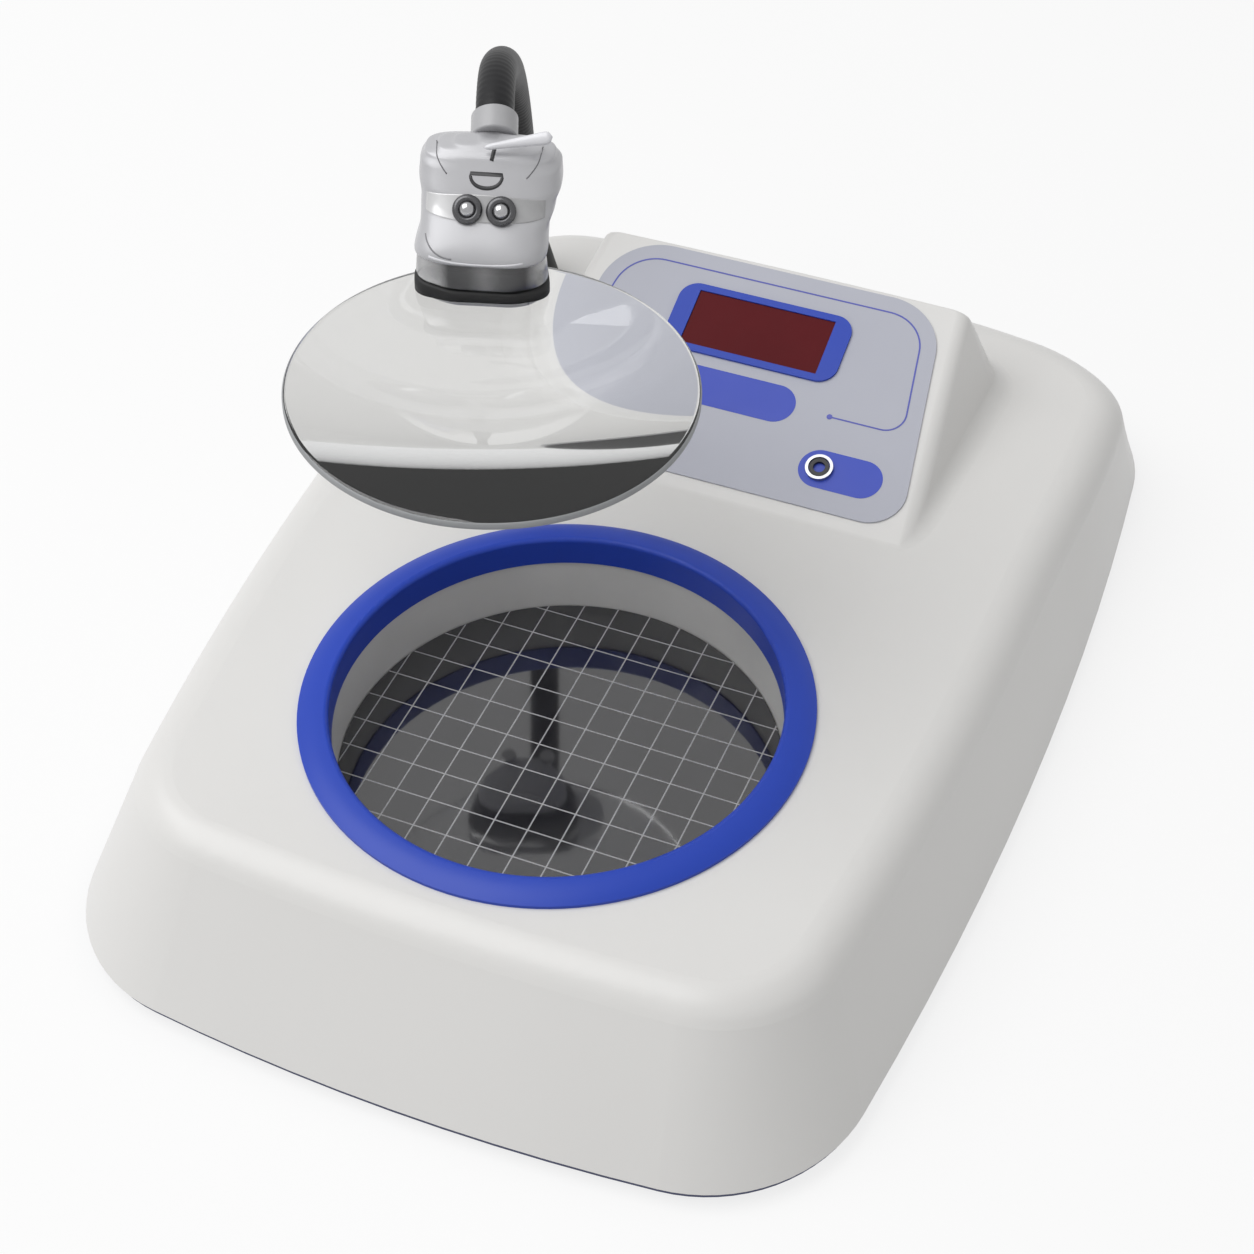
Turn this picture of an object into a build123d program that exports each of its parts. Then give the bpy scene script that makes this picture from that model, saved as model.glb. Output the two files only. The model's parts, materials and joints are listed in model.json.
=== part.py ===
from build123d import *
import os
from math import cos, pi, radians, sin, tan

# Benchtop digital colony counter with a gooseneck magnifier.  Millimetres, +Z up.
# Origin: centre of the housing's footprint, on the surface that the feet stand on.
# The front edge is towards -Y, the sloping display console is at the rear, and the
# magnifier's neck stands on the deck at the rear left.

# ---------------------------------------------------------------- housing
BASE_WIDTH = 246.0        # over the bulge of the sides, at the bottom edge
BASE_DEPTH = 347.0        # front to rear, at the bottom edge
SIDE_BULGE = 15.0         # each front corner stands this far inside the bulge
TAIL_PINCH = 9.0          # the same at each rear corner
BULGE_Y = 22.0            # where the sides are widest at the bottom edge
DECK_BULGE_Y = 47.0       # and at the deck
DECK_EASE = 0.45          # share of bow and pinch lost between bottom and deck
FRONT_BOW = 9.0           # how far the front edge bows out
REAR_BOW = 5.0
FOOT_HEIGHT = 3.0
TRAY_THICKNESS = 2.4      # the dark rim that shows under the housing
TRAY_INSET = 0.8
DECK_HEIGHT = 47.5        # top deck above the table
WALL = 2.6
FRONT_RAKE = 29.0         # how far the front wall leans back from base to deck
SIDE_RAKE = 14.5
REAR_RAKE = 30.0
BASE_CORNER = 46.0
DECK_CORNER = 33.0
SHOULDER = 13.0           # radius of the soft edge round the deck
LIP_HEIGHT = 3.5          # tray lip that centres the housing
LIP_INSET = 6.6
LIP_WIDTH = 1.6

# ---------------------------------------------------------------- console
CONSOLE_X = 3.0           # the console stands this far right of the middle
CONSOLE_SETBACK = 47.0    # foot of its rear wall, in front of the housing's rear edge
CONSOLE_DEPTH = 96.5      # from the ramp's foot to the foot of the rear wall
RAMP_ANGLE = 20.0
CONSOLE_FOOT_FRONT = 67.0   # half width at the ramp's foot
CONSOLE_FOOT_REAR = 71.0
CONSOLE_REAR_BOW = 4.0
CONSOLE_DRAFT = 21.0
CONSOLE_CORNER = 20.0
CONSOLE_EDGE = 4.5        # rounding of its upper edges
CONSOLE_VALLEY = 6.0      # fillet between console and deck
CONSOLE_REAR = BASE_DEPTH / 2 - CONSOLE_SETBACK
CONSOLE_FRONT = CONSOLE_REAR - CONSOLE_DEPTH

# ---------------------------------------------------------------- screws
BOSS_R = 4.2
BOSS_SIDE = 23.0          # screw bosses, inside the housing's edges
BOSS_FRONT_SIDE = 45.0
BOSS_REAR_SIDE = 49.0
BOSS_FRONT = 45.5
BOSS_REAR = 46.5
BOSS_MIDDLE_Y = 18.0
SCREW_R = 1.5
SCREW_CLEARANCE = 0.2
SCREW_HEAD_R = 2.9
SCREW_HEAD_H = 1.8
SCREW_BITE = 9.0          # length in the boss
FOOT_FRONT_SIDE = 61.0    # rubber feet, inside the housing's edges
FOOT_REAR_SIDE = 31.0
FOOT_FRONT = 27.5
FOOT_REAR = 45.5
FOOT_R = 9.0

# ---------------------------------------------------------------- dish well
WELL_SETBACK = 110.5      # middle of the well, behind the housing's front edge
WELL_Y = WELL_SETBACK - BASE_DEPTH / 2
WELL_R = 62.3             # bore of the blue bezel
WELL_DEPTH = 27.5         # bezel top to grid plate
BEZEL_R = 71.0
BEZEL_LOW = 1.0           # height of its outer edge over the deck
BEZEL_HIGH = 3.0          # and of its inner edge
BEZEL_WALL = 2.6
BEZEL_SKIRT = 9.5         # depth of the blue inner wall
LINER_STEP = 0.6          # the grey wall stands this far behind the blue one
LINER_WALL = 2.2
PLATE_THICKNESS = 3.0
PLATE_MARGIN = 4.2        # plate radius beyond the well bore
BOWL_WALL = 2.2
BOWL_FLOOR_Z = 9.0
GAP = 0.3                 # air between curved neighbours
PLATE_REBATE = 1.0        # the liner's foot stands in a rebate of the plate's rim
LAMP_INSET = 12.5         # the lamp ring's pitch circle, inside the plate's edge
LAMP_BAND = 10.0
LAMP_COUNT = 16

# ---------------------------------------------------------------- console panel
OVERLAY_THICKNESS = 0.6
OVERLAY_START = 5.0       # up the slope from the ramp's foot
OVERLAY_LENGTH = 77.0
OVERLAY_HALF_FOOT = 63.4
OVERLAY_HALF_TOP = 52.6
OVERLAY_FOOT_CORNER = 11.0
OVERLAY_TOP_CORNER = 19.0
DISPLAY_S = 58.7          # up the slope from the ramp's foot to the window's centre
DISPLAY_W = 44.5
DISPLAY_H = 19.4
DISPLAY_DEPTH = 9.6       # window face to circuit board
FRAME_W = 56.5
FRAME_H = 24.0
FRAME_THICKNESS = 0.8
FRAME_CORNER = 6.0
DIGIT_COUNT = 4
PANEL_BOARD = (96.0, 56.0)
PANEL_BOARD_S = 44.0
JACK_S = 18.4
JACK_X = 34.0             # to the right of the console's middle
JACK_BORE_R = 1.8
JACK_BARREL_R = 3.0
JACK_NUT_R = 4.2
JACK_DEPTH = 14.0
FIT = 0.05                # radial clearance of parts that turn or slide

# ---------------------------------------------------------------- rear fittings
POCKET_HALF = 56.0
POCKET_INSET = 26.1       # upright panel's outer face, inside the housing's rear edge
POCKET_TOP = 39.0
PANEL_THICKNESS = 2.0
PANEL_TOP = 34.8
PANEL_FRAME = 2.6         # the panel's margin behind the opening's edge
POCKET_Y = BASE_DEPTH / 2 - POCKET_INSET
FITTING_Z = 20.0          # height of inlet, switch and fuse
INLET_X = 27.0
INLET_EAR = 20.0          # screw holes each side of its middle
SWITCH_X = -8.0
RESET_X = -23.0
RESET_R = 3.2
RESET_STAND = 2.4         # cap above its bezel
RESET_FLANGE = 1.4
RESET_BODY = 6.0          # switch body behind the panel
RESET_TRAVEL = 1.0
FUSE_X = -38.0
ROCKER_TILT = 7.0
FUSE_R = 6.0

# ---------------------------------------------------------------- inner parts
STANDOFF_H = 8.0
BOARD_THICKNESS = 1.6
MAIN_BOARD = (84.0, 62.0)
BOARD_X = -22.0
BOARD_SETBACK = 50.0      # its middle, in front of the console's rear wall
TRANSFORMER_X = 58.0
TRANSFORMER_SETBACK = 42.0

# ---------------------------------------------------------------- magnifier arm
ARM_SIDE = 36.5           # neck socket, inside the housing's left edge
ARM_SETBACK = 65.0        # and in front of its rear edge
ARM_X = ARM_SIDE - BASE_WIDTH / 2
ARM_Y = BASE_DEPTH / 2 - ARM_SETBACK
ARM_YAW = 22.6            # the arm points to -Y, turned this far towards +X
SOCKET_R = 10.5
SOCKET_FLANGE = 1.4
SOCKET_WALL = 4.0
SOCKET_DEPTH = 8.0        # of its barrel under the deck
NUT_HEIGHT = 4.0
SPIGOT_R = 4.0
NECK_R = 5.2
HEAD_YAW = -4.0          # the head is turned this much less than the neck
NECK_BEND_R = 69.0
NECK_TURN = 110.0         # from straight up to pointing down at the head
NECK_END_Z = 170.0
FLEX_FROM = 42.0          # part of the turn that takes up the bending
FLEX_TO = 72.0
BOOT_HEIGHT = 21.0
BOOT_R = 10.3
COLLAR_R = 6.3
COLLAR_LENGTH = 7.0
HEAD_SPIGOT_R = 3.5
HEAD_SPIGOT_LENGTH = 7.0

# ---------------------------------------------------------------- magnifier head
HEAD_ROLL = -2.5          # the head hangs a little lower on its right
HEAD_PITCH = -1.2         # and its front a little higher
LENS_FORWARD = 65.7       # lens centre, in front of the neck's end
LENS_SIDE = 6.3           # it sits a little to the right in its clamp
LENS_DROP = 38.8          # and under it
LENS_R = 54.0
LENS_EDGE = 2.0
LENS_DOME = 5.2           # extra height of each face at the centre
HEAD_FRONT = 37.3         # clamp's front, in front of the neck's end
HEAD_HALF = 19.2
HEAD_LENGTH = 33.0        # clamp, front to back
CLAMP_BOW = 5.0
CLAMP_CORNER = 8.0
CLAMP_BACK_HALF = 10.5    # its half width at the back
CLAMP_TAPER = 15.0        # length over which it narrows
PAD_HEIGHT = 7.6          # upper pad's top, over the lens's middle plane
PAD_DEPTH = 6.0           # lower pad's foot, under it
PAD_GAP = 0.5             # each pad ends this far from the middle plane
JAW_THICKNESS = 3.0
BAND_HEIGHT = 8.4
CLAMP_SCREW_R = 1.25
CLAMP_SCREW_SIDE = 6.5
CLAMP_SCREW_BACK = 4.0    # in front of the clamp's back
FACE_ANGLE = 50.0
FACE_LENGTH = 31.2
HEAD_WALL = 1.8
HEAD_EDGE = 2.0           # rounding of the shell's edges
LED_F = 14.7              # up the face from its foot
LED_X = 4.45
LED_R = 3.9
LEVER_LENGTH = 18.0
LEVER_X = 0.6
LEVER_F = 28.4
LEVER_TURN = 14.0
LEVER_PIN_R = 1.0
SWITCH_PANEL_LOW = 24.0           # switch panel, up the face
SWITCH_PANEL_HIGH = 30.2
SWITCH_PANEL_HALF_LOW = 11.0
SWITCH_PANEL_HALF_HIGH = 14.0
NOTCH_HALF = 4.6          # catch under the panel
NOTCH_DEPTH = 3.9
NOTCH_GROOVE = 0.9


# ================================================================ helpers
def turned(outline):
    """Solid of revolution about Z from (radius, height) corners."""
    with BuildPart() as part:
        with BuildSketch(Plane.XZ):
            with BuildLine():
                Polyline(*outline, close=True)
            make_face()
        revolve(axis=Axis.Z)
    return part.part


def rod(radius, z0, z1, x=0.0, y=0.0):
    return Pos(x, y, (z0 + z1) / 2) * Cylinder(radius, z1 - z0)


def block(width, depth, z0, z1, x=0.0, y=0.0):
    return Pos(x, y, (z0 + z1) / 2) * Box(width, depth, z1 - z0)


def rounded_plate(width, depth, thickness, radius):
    return extrude(RectangleRounded(width, depth, radius), thickness)


def mirrored(places):
    return [(side * x, y) for x, y in places for side in (1, -1)]


def group(solids):
    return Compound(children=[s for part in solids for s in part.solids()])


ramp = Plane(origin=(CONSOLE_X, CONSOLE_FRONT, DECK_HEIGHT), x_dir=(1, 0, 0),
             z_dir=(0, -sin(radians(RAMP_ANGLE)), cos(radians(RAMP_ANGLE))))
yaw = radians(ARM_YAW)
arm_side = Plane(origin=(ARM_X, ARM_Y, 0), x_dir=(sin(yaw), -cos(yaw), 0),
                 z_dir=(-cos(yaw), -sin(yaw), 0))      # x forward, y up
arm_plan = Plane(origin=(ARM_X, ARM_Y, 0), x_dir=(sin(yaw), -cos(yaw), 0),
                 z_dir=(0, 0, 1))                      # x forward, y to the right
neck_turn_z = NECK_END_Z - NECK_BEND_R * sin(radians(NECK_TURN))


def neck_point(angle):
    """Point of the neck's centre line, as (forward, up)."""
    a = radians(angle)
    return NECK_BEND_R * (1 - cos(a)), neck_turn_z + NECK_BEND_R * sin(a)


def neck_frame(angle):
    """Plane square to the neck at that part of its turn, +Z towards the head."""
    a = radians(angle)
    forward, up = neck_point(angle)
    heading = arm_side.x_dir * sin(a) + arm_side.y_dir * cos(a)
    return Plane(origin=arm_side.from_local_coords((forward, up, 0)),
                 x_dir=-arm_side.z_dir, z_dir=heading)


# x forward, y to the right, z up, from the neck's end
head = Location(neck_frame(NECK_TURN).origin) * Rot(0, 0, ARM_YAW + HEAD_YAW - 90)
head = head * Rot(HEAD_ROLL, 0, 0) * Rot(0, HEAD_PITCH, 0)


# ================================================================ housing
def outline(level, inset=0.0):
    """Bowed four-sided outline; level 0 is the bottom edge, 1 is the deck."""
    half = BASE_WIDTH / 2 - SIDE_RAKE * level - inset
    front = -BASE_DEPTH / 2 + FRONT_RAKE * level + inset
    rear = BASE_DEPTH / 2 - REAR_RAKE * level - inset
    corner = BASE_CORNER + (DECK_CORNER - BASE_CORNER) * level - inset
    ease = 1 - DECK_EASE * level
    bulge_y = BULGE_Y + (DECK_BULGE_Y - BULGE_Y) * level
    front_half = half - SIDE_BULGE
    rear_half = half - TAIL_PINCH * ease
    front_corner = front + FRONT_BOW * ease
    rear_corner = rear - REAR_BOW
    with BuildSketch() as sk:
        with BuildLine():
            ThreePointArc((-front_half, front_corner), (0, front), (front_half, front_corner))
            ThreePointArc((front_half, front_corner), (half, bulge_y), (rear_half, rear_corner))
            ThreePointArc((rear_half, rear_corner), (0, rear), (-rear_half, rear_corner))
            ThreePointArc((-rear_half, rear_corner), (-half, bulge_y), (-front_half, front_corner))
        make_face()
        fillet(sk.vertices(), corner)
    return sk.sketch


def body_form(inset):
    """Raked body without its console."""
    low = FOOT_HEIGHT + TRAY_THICKNESS
    top = DECK_HEIGHT - inset
    faces = [Pos(0, 0, low) * outline(0, inset), Pos(0, 0, top) * outline(1, inset)]
    body = Solid.make_loft([f.face().outer_wire() for f in faces], ruled=True)
    rim = body.edges().filter_by(lambda e: abs(e.center().Z - top) < 0.01)
    return Part(body.fillet(SHOULDER - inset * 0.6, rim).wrapped)


def console_form(inset):
    """Wedge with drafted walls, cut off by the ramp."""
    depth = 8.0
    grow = depth * tan(radians(CONSOLE_DRAFT)) - inset
    half_front = CONSOLE_FOOT_FRONT + grow
    half_rear = CONSOLE_FOOT_REAR + grow
    front = CONSOLE_FRONT - 14.0
    rear = CONSOLE_REAR + grow
    corner = rear - CONSOLE_REAR_BOW
    with BuildSketch() as sk:
        with BuildLine():
            Polyline((-half_rear, corner), (-half_front, front), (half_front, front),
                     (half_rear, corner))
            ThreePointArc((half_rear, corner), (0, rear), (-half_rear, corner))
        make_face()
        fillet(sk.vertices().group_by(Axis.Y)[-1], CONSOLE_CORNER)
    wedge = extrude(Pos(CONSOLE_X, 0, DECK_HEIGHT - depth) * sk.sketch, 50, taper=CONSOLE_DRAFT)
    return wedge - ramp * Pos(0, 100, 50 - inset) * Box(400, 400, 100)


def housing_form(inset=0.0):
    """Body and console in one, with soft edges and a soft valley."""
    form = body_form(inset) + console_form(inset)
    deck = DECK_HEIGHT - inset
    upper = [e for e in form.edges() if e.center().Z > deck + 1]
    form = form.fillet(CONSOLE_EDGE, upper)
    valley = [e for e in form.edges()
              if abs(e.center().Z - deck) < 0.05 and e.center().Y > CONSOLE_FRONT + 1
              and abs(e.center().X - CONSOLE_X) < CONSOLE_FOOT_REAR + 1
              and e.center().Y < CONSOLE_REAR + 1]
    return Part(form.fillet(CONSOLE_VALLEY, valley).wrapped)


def rear_pocket(grow=0.0):
    """Space cut in the raked rear wall, so that the fittings sit upright."""
    width = 2 * (POCKET_HALF + grow)
    return block(width, 60, 0, POCKET_TOP + grow, 0, POCKET_Y + WALL - grow + 30)


def boss_places():
    """Screw bosses along both sides, front to rear."""
    half, end = BASE_WIDTH / 2, BASE_DEPTH / 2
    return mirrored([(half - BOSS_FRONT_SIDE, BOSS_FRONT - end), (half - BOSS_SIDE, BOSS_MIDDLE_Y),
                     (half - BOSS_REAR_SIDE, end - BOSS_REAR)])


def foot_places():
    half, end = BASE_WIDTH / 2, BASE_DEPTH / 2
    return mirrored([(half - FOOT_FRONT_SIDE, FOOT_FRONT - end),
                     (half - FOOT_REAR_SIDE, end - FOOT_REAR)])


def make_top_housing():
    low = FOOT_HEIGHT + TRAY_THICKNESS
    shell = housing_form() - rear_pocket()
    shell -= housing_form(WALL) - rear_pocket(WALL)
    for x, y in boss_places():
        shell += rod(BOSS_R, low, DECK_HEIGHT - WALL + 0.5, x, y)
        shell -= rod(SCREW_R + SCREW_CLEARANCE, low, low + SCREW_BITE + 0.5, x, y)
    hole_r = WELL_R + BEZEL_WALL + GAP
    shell -= rod(hole_r, DECK_HEIGHT - WALL - 1, DECK_HEIGHT + 1, 0, WELL_Y)
    shell -= rod(SPIGOT_R + SOCKET_WALL + GAP, DECK_HEIGHT - WALL - 1, DECK_HEIGHT + 1, ARM_X, ARM_Y)
    shell -= ramp * Pos(0, DISPLAY_S, 0) * Box(DISPLAY_W + 1, DISPLAY_H + 1, 12)
    shell -= ramp * Pos(JACK_X, JACK_S, 0) * Cylinder(JACK_BARREL_R + 0.2, 12)
    half = POCKET_HALF - PANEL_FRAME
    return shell - block(2 * half, 3 * WALL, low - 1, PANEL_TOP - PANEL_FRAME, 0, POCKET_Y + WALL / 2)


def make_base_tray():
    top = FOOT_HEIGHT + TRAY_THICKNESS
    tray = Pos(0, 0, FOOT_HEIGHT) * extrude(outline(0, TRAY_INSET), TRAY_THICKNESS)
    lip = extrude(outline(0, LIP_INSET) - outline(0, LIP_INSET + LIP_WIDTH), LIP_HEIGHT)
    lip -= block(2 * POCKET_HALF + 8, 60, -1, LIP_HEIGHT + 1, 0, POCKET_Y - PANEL_THICKNESS + 30)
    stop_y = POCKET_Y - PANEL_THICKNESS - LIP_WIDTH / 2
    lip += block(2 * POCKET_HALF, LIP_WIDTH, 0, LIP_HEIGHT, 0, stop_y)
    tray += Pos(0, 0, top) * lip
    for x, y in boss_places():
        tray -= rod(SCREW_R + SCREW_CLEARANCE, 0, top + 1, x, y)
    for k in range(4):
        a = pi / 4 + k * pi / 2
        tray += rod(5, top, BOWL_FLOOR_Z - BOWL_WALL,
                    lamp_r * cos(a), WELL_Y + lamp_r * sin(a))
    for x, y in board_corners():
        tray += rod(3.2, top, top + STANDOFF_H, x, y)
        tray -= rod(1.2, top + 1, top + STANDOFF_H + 1, x, y)
    slots = [block(3, 34, 0, top + 1, x, WELL_Y) for x in (-14, 0, 14)]
    for slot in slots:
        tray -= slot
    return tray


def make_tray_screws():
    low = FOOT_HEIGHT
    screws = []
    for x, y in boss_places():
        screw = rod(SCREW_R, low, low + TRAY_THICKNESS + SCREW_BITE, x, y)
        screw += rod(SCREW_HEAD_R, low - SCREW_HEAD_H, low, x, y)
        screws.append(screw - block(0.8, 4, 0, low - SCREW_HEAD_H + 0.8, x, y))
    return group(screws)


def make_feet():
    height = FOOT_HEIGHT
    pad = turned([(0, 0), (FOOT_R - 1.2, 0), (FOOT_R - 0.6, 0.5), (FOOT_R, height), (0, height)])
    return group([Pos(x, y, 0) * pad for x, y in foot_places()])


# ================================================================ dish well
bezel_top = DECK_HEIGHT + BEZEL_HIGH
skirt_low = bezel_top - BEZEL_SKIRT
plate_top = bezel_top - WELL_DEPTH
plate_r = WELL_R + PLATE_MARGIN
rebate_r = WELL_R + LINER_STEP - GAP
lamp_r = plate_r - LAMP_INSET


def make_bezel_ring():
    """Crowned blue ring with a skirt that lines the mouth of the well."""
    with BuildPart() as part:
        with BuildSketch(Plane.XZ):
            with BuildLine():
                Polyline((WELL_R, bezel_top - 1.2), (WELL_R, skirt_low),
                         (WELL_R + BEZEL_WALL, skirt_low), (WELL_R + BEZEL_WALL, DECK_HEIGHT),
                         (BEZEL_R, DECK_HEIGHT), (BEZEL_R, DECK_HEIGHT + BEZEL_LOW))
                ThreePointArc((BEZEL_R, DECK_HEIGHT + BEZEL_LOW),
                              (BEZEL_R - 3.6, bezel_top - 0.5), (WELL_R + 1.6, bezel_top))
                ThreePointArc((WELL_R + 1.6, bezel_top), (WELL_R + 0.4, bezel_top - 0.4),
                              (WELL_R, bezel_top - 1.2))
            make_face()
        revolve(axis=Axis.Z)
    return Pos(0, WELL_Y, 0) * part.part


def make_well_liner():
    inner = WELL_R + LINER_STEP
    foot = plate_r + BOWL_WALL
    low = plate_top - PLATE_REBATE
    liner = turned([(inner, low), (foot, low), (foot, low + 2),
                    (inner + LINER_WALL, low + 2), (inner + LINER_WALL, skirt_low),
                    (inner, skirt_low)])
    return Pos(0, WELL_Y, 0) * liner


def make_grid_plate():
    """Plate with a rebated rim, flush with the foot of the well's wall."""
    low = plate_top - PLATE_THICKNESS
    rim = plate_top - PLATE_REBATE
    return rod(plate_r, low, rim, 0, WELL_Y) + rod(rebate_r, low, plate_top, 0, WELL_Y)


def make_lamp_bowl():
    low = BOWL_FLOOR_Z - BOWL_WALL
    ledge = plate_top - PLATE_THICKNESS
    outer = plate_r + BOWL_WALL
    rim = plate_top - PLATE_REBATE
    bowl = turned([(0, low), (outer, low), (outer, rim), (plate_r + GAP, rim),
                   (plate_r + GAP, ledge), (plate_r - 2, ledge), (plate_r - 4, BOWL_FLOOR_Z),
                   (0, BOWL_FLOOR_Z)])
    return Pos(0, WELL_Y, 0) * bowl


def make_lamp_ring():
    z = BOWL_FLOOR_Z
    top = z + BOARD_THICKNESS
    ring = rod(lamp_r + LAMP_BAND / 2, z, top) - rod(lamp_r - LAMP_BAND / 2, z - 1, top + 1)
    lamps = []
    for k in range(LAMP_COUNT):
        a = 2 * pi * k / LAMP_COUNT
        lamps.append(block(3.5, 3.5, top, top + 1.4, lamp_r * cos(a), WELL_Y + lamp_r * sin(a)))
    return Pos(0, WELL_Y, 0) * ring, group(lamps)


# ================================================================ console panel
def overlay_outline():
    with BuildSketch() as sk:
        with BuildLine():
            end = OVERLAY_START + OVERLAY_LENGTH
            Polyline((-OVERLAY_HALF_FOOT, OVERLAY_START), (OVERLAY_HALF_FOOT, OVERLAY_START),
                     (OVERLAY_HALF_TOP, end), (-OVERLAY_HALF_TOP, end), close=True)
        make_face()
        fillet(sk.vertices().group_by(Axis.Y)[0], OVERLAY_FOOT_CORNER)
        fillet(sk.vertices().group_by(Axis.Y)[-1], OVERLAY_TOP_CORNER)
    return sk.sketch


def make_panel_overlay():
    sheet = extrude(overlay_outline(), OVERLAY_THICKNESS)
    sheet -= Pos(0, DISPLAY_S, 0) * Box(DISPLAY_W + 1, DISPLAY_H + 1, 4)
    sheet -= Pos(JACK_X, JACK_S, 0) * Cylinder(JACK_BARREL_R + 0.2, 4)
    return ramp * sheet


def make_display_frame():
    frame = rounded_plate(FRAME_W, FRAME_H, FRAME_THICKNESS, FRAME_CORNER)
    frame -= Box(DISPLAY_W, DISPLAY_H, 4)
    return ramp * Pos(0, DISPLAY_S, OVERLAY_THICKNESS) * frame


def make_display_window():
    window = Pos(0, 0, -1.6) * extrude(Rectangle(DISPLAY_W - 0.2, DISPLAY_H - 0.2), 2.6)
    return ramp * Pos(0, DISPLAY_S, 0) * window


def make_display_module():
    """Four-digit lamp module; each digit is a raised cell."""
    module = Pos(0, 0, -DISPLAY_DEPTH) * extrude(Rectangle(DISPLAY_W - 1, DISPLAY_H - 0.6), 7)
    pitch = (DISPLAY_W - 3) / DIGIT_COUNT
    for k in range(DIGIT_COUNT):
        x = (k - (DIGIT_COUNT - 1) / 2) * pitch
        module += Pos(x, 0, 7.15 - DISPLAY_DEPTH) * Box(pitch - 1.2, DISPLAY_H - 3, 0.5)
    return ramp * Pos(0, DISPLAY_S, 0) * module


def make_display_board():
    """Board under the ramp on four posts; the probe socket passes through it."""
    board = Pos(0, PANEL_BOARD_S, 0) * Box(*PANEL_BOARD, BOARD_THICKNESS)
    board -= Pos(JACK_X, JACK_S, 0) * Cylinder(JACK_NUT_R + 2.2, 6)
    board = ramp * Pos(0, 0, -DISPLAY_DEPTH - BOARD_THICKNESS / 2) * board
    across, along = PANEL_BOARD[0] / 2 - 4, PANEL_BOARD[1] / 2 - 4
    posts = []
    for x, s in mirrored([(across, along), (across, -along)]):
        middle = -(DISPLAY_DEPTH + WALL) / 2
        post = Pos(x, PANEL_BOARD_S + s, middle) * Cylinder(2.6, DISPLAY_DEPTH - WALL)
        posts.append(ramp * post)
    return board, group(posts)


def make_probe_jack():
    barrel = Pos(0, 0, OVERLAY_THICKNESS + 1.2 - (JACK_DEPTH + 4) / 2)
    barrel = barrel * Cylinder(JACK_BARREL_R, JACK_DEPTH + 4)
    barrel += Pos(0, 0, -WALL - 5) * Box(8, 9, 9.6)
    top = OVERLAY_THICKNESS + 1.2
    barrel -= Pos(0, 0, top - JACK_DEPTH / 2) * Cylinder(JACK_BORE_R, JACK_DEPTH)
    nut = Pos(0, 0, OVERLAY_THICKNESS + 0.7) * Cylinder(JACK_NUT_R, 1.4)
    nut -= Cylinder(JACK_BARREL_R + GAP, 10)
    place = ramp * Pos(JACK_X, JACK_S, 0)
    return place * barrel, place * nut


# ================================================================ rear fittings
def facing_rear(x):
    """Plane on the upright rear panel, +Z pointing out of the back."""
    return Plane(origin=(x, POCKET_Y, FITTING_Z), x_dir=(-1, 0, 0), z_dir=(0, 1, 0))


def make_rear_panel():
    """Upright plate behind the opening of the housing, bored for its fittings."""
    low = FOOT_HEIGHT + TRAY_THICKNESS
    middle = POCKET_Y - PANEL_THICKNESS / 2
    plate = block(2 * POCKET_HALF, PANEL_THICKNESS, low, PANEL_TOP, 0, middle)
    plate -= block(28.0, 8, FITTING_Z - 10.2, FITTING_Z + 10.2, INLET_X, middle)
    for x in (INLET_X - INLET_EAR, INLET_X + INLET_EAR):
        plate -= facing_rear(x) * Cylinder(1.7, 8)
    plate -= block(13.4, 8, FITTING_Z - 9.7, FITTING_Z + 9.7, SWITCH_X, middle)
    plate -= facing_rear(RESET_X) * Cylinder(RESET_R + 1.2 + GAP, 8)
    return plate - facing_rear(FUSE_X) * Cylinder(FUSE_R + GAP, 8)


def make_reset_button():
    """Button that zeroes the count, sliding in its bezel on the rear panel."""
    top = RESET_FLANGE + RESET_STAND
    back = -PANEL_THICKNESS - RESET_BODY
    cap = Pos(0, 0, (top - PANEL_THICKNESS) / 2) * Cylinder(RESET_R, top + PANEL_THICKNESS)
    cap = cap.fillet(0.8, cap.edges().group_by(Axis.Z)[-1])
    bore = RESET_R + FIT
    switch = Pos(0, 0, (RESET_FLANGE + back) / 2) * Cylinder(RESET_R + 1.2, RESET_FLANGE - back)
    switch += Pos(0, 0, RESET_FLANGE / 2) * Cylinder(RESET_R + 2.2, RESET_FLANGE)
    depth = RESET_FLANGE + PANEL_THICKNESS + RESET_TRAVEL + 0.1
    switch -= Pos(0, 0, RESET_FLANGE - depth / 2) * Cylinder(bore, depth)
    plane = facing_rear(RESET_X)
    return plane * cap, plane * switch


def make_power_inlet():
    plane = facing_rear(INLET_X)
    body = extrude(RectangleRounded(48, 24, 4), 2.4)
    body += Pos(0, 0, -17) * extrude(RectangleRounded(27.4, 19.8, 2), 17.2)
    body -= Pos(0, 0, -14) * extrude(RectangleRounded(24.4, 16.4, 3), 20)
    for x in (-INLET_EAR, INLET_EAR):
        body -= Pos(x, 0, 0) * Cylinder(1.7, 8)
    pins = []
    for x, y in [(0, 3.2), (-7, -3.2), (7, -3.2)]:
        pins.append(plane * Pos(x, y, -8.2) * Box(2, 4.2, 11.6))
    screws = []
    for x in (-INLET_EAR, INLET_EAR):
        screw = Pos(x, 0, -1.8) * Cylinder(1.4, 8.8)
        screw += Pos(x, 0, 3.2) * Cylinder(2.6, 1.6)
        screws.append(plane * (screw - Pos(x, 0, 4) * Box(4, 0.7, 1)))
    return plane * body, group(pins), group(screws)


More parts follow.
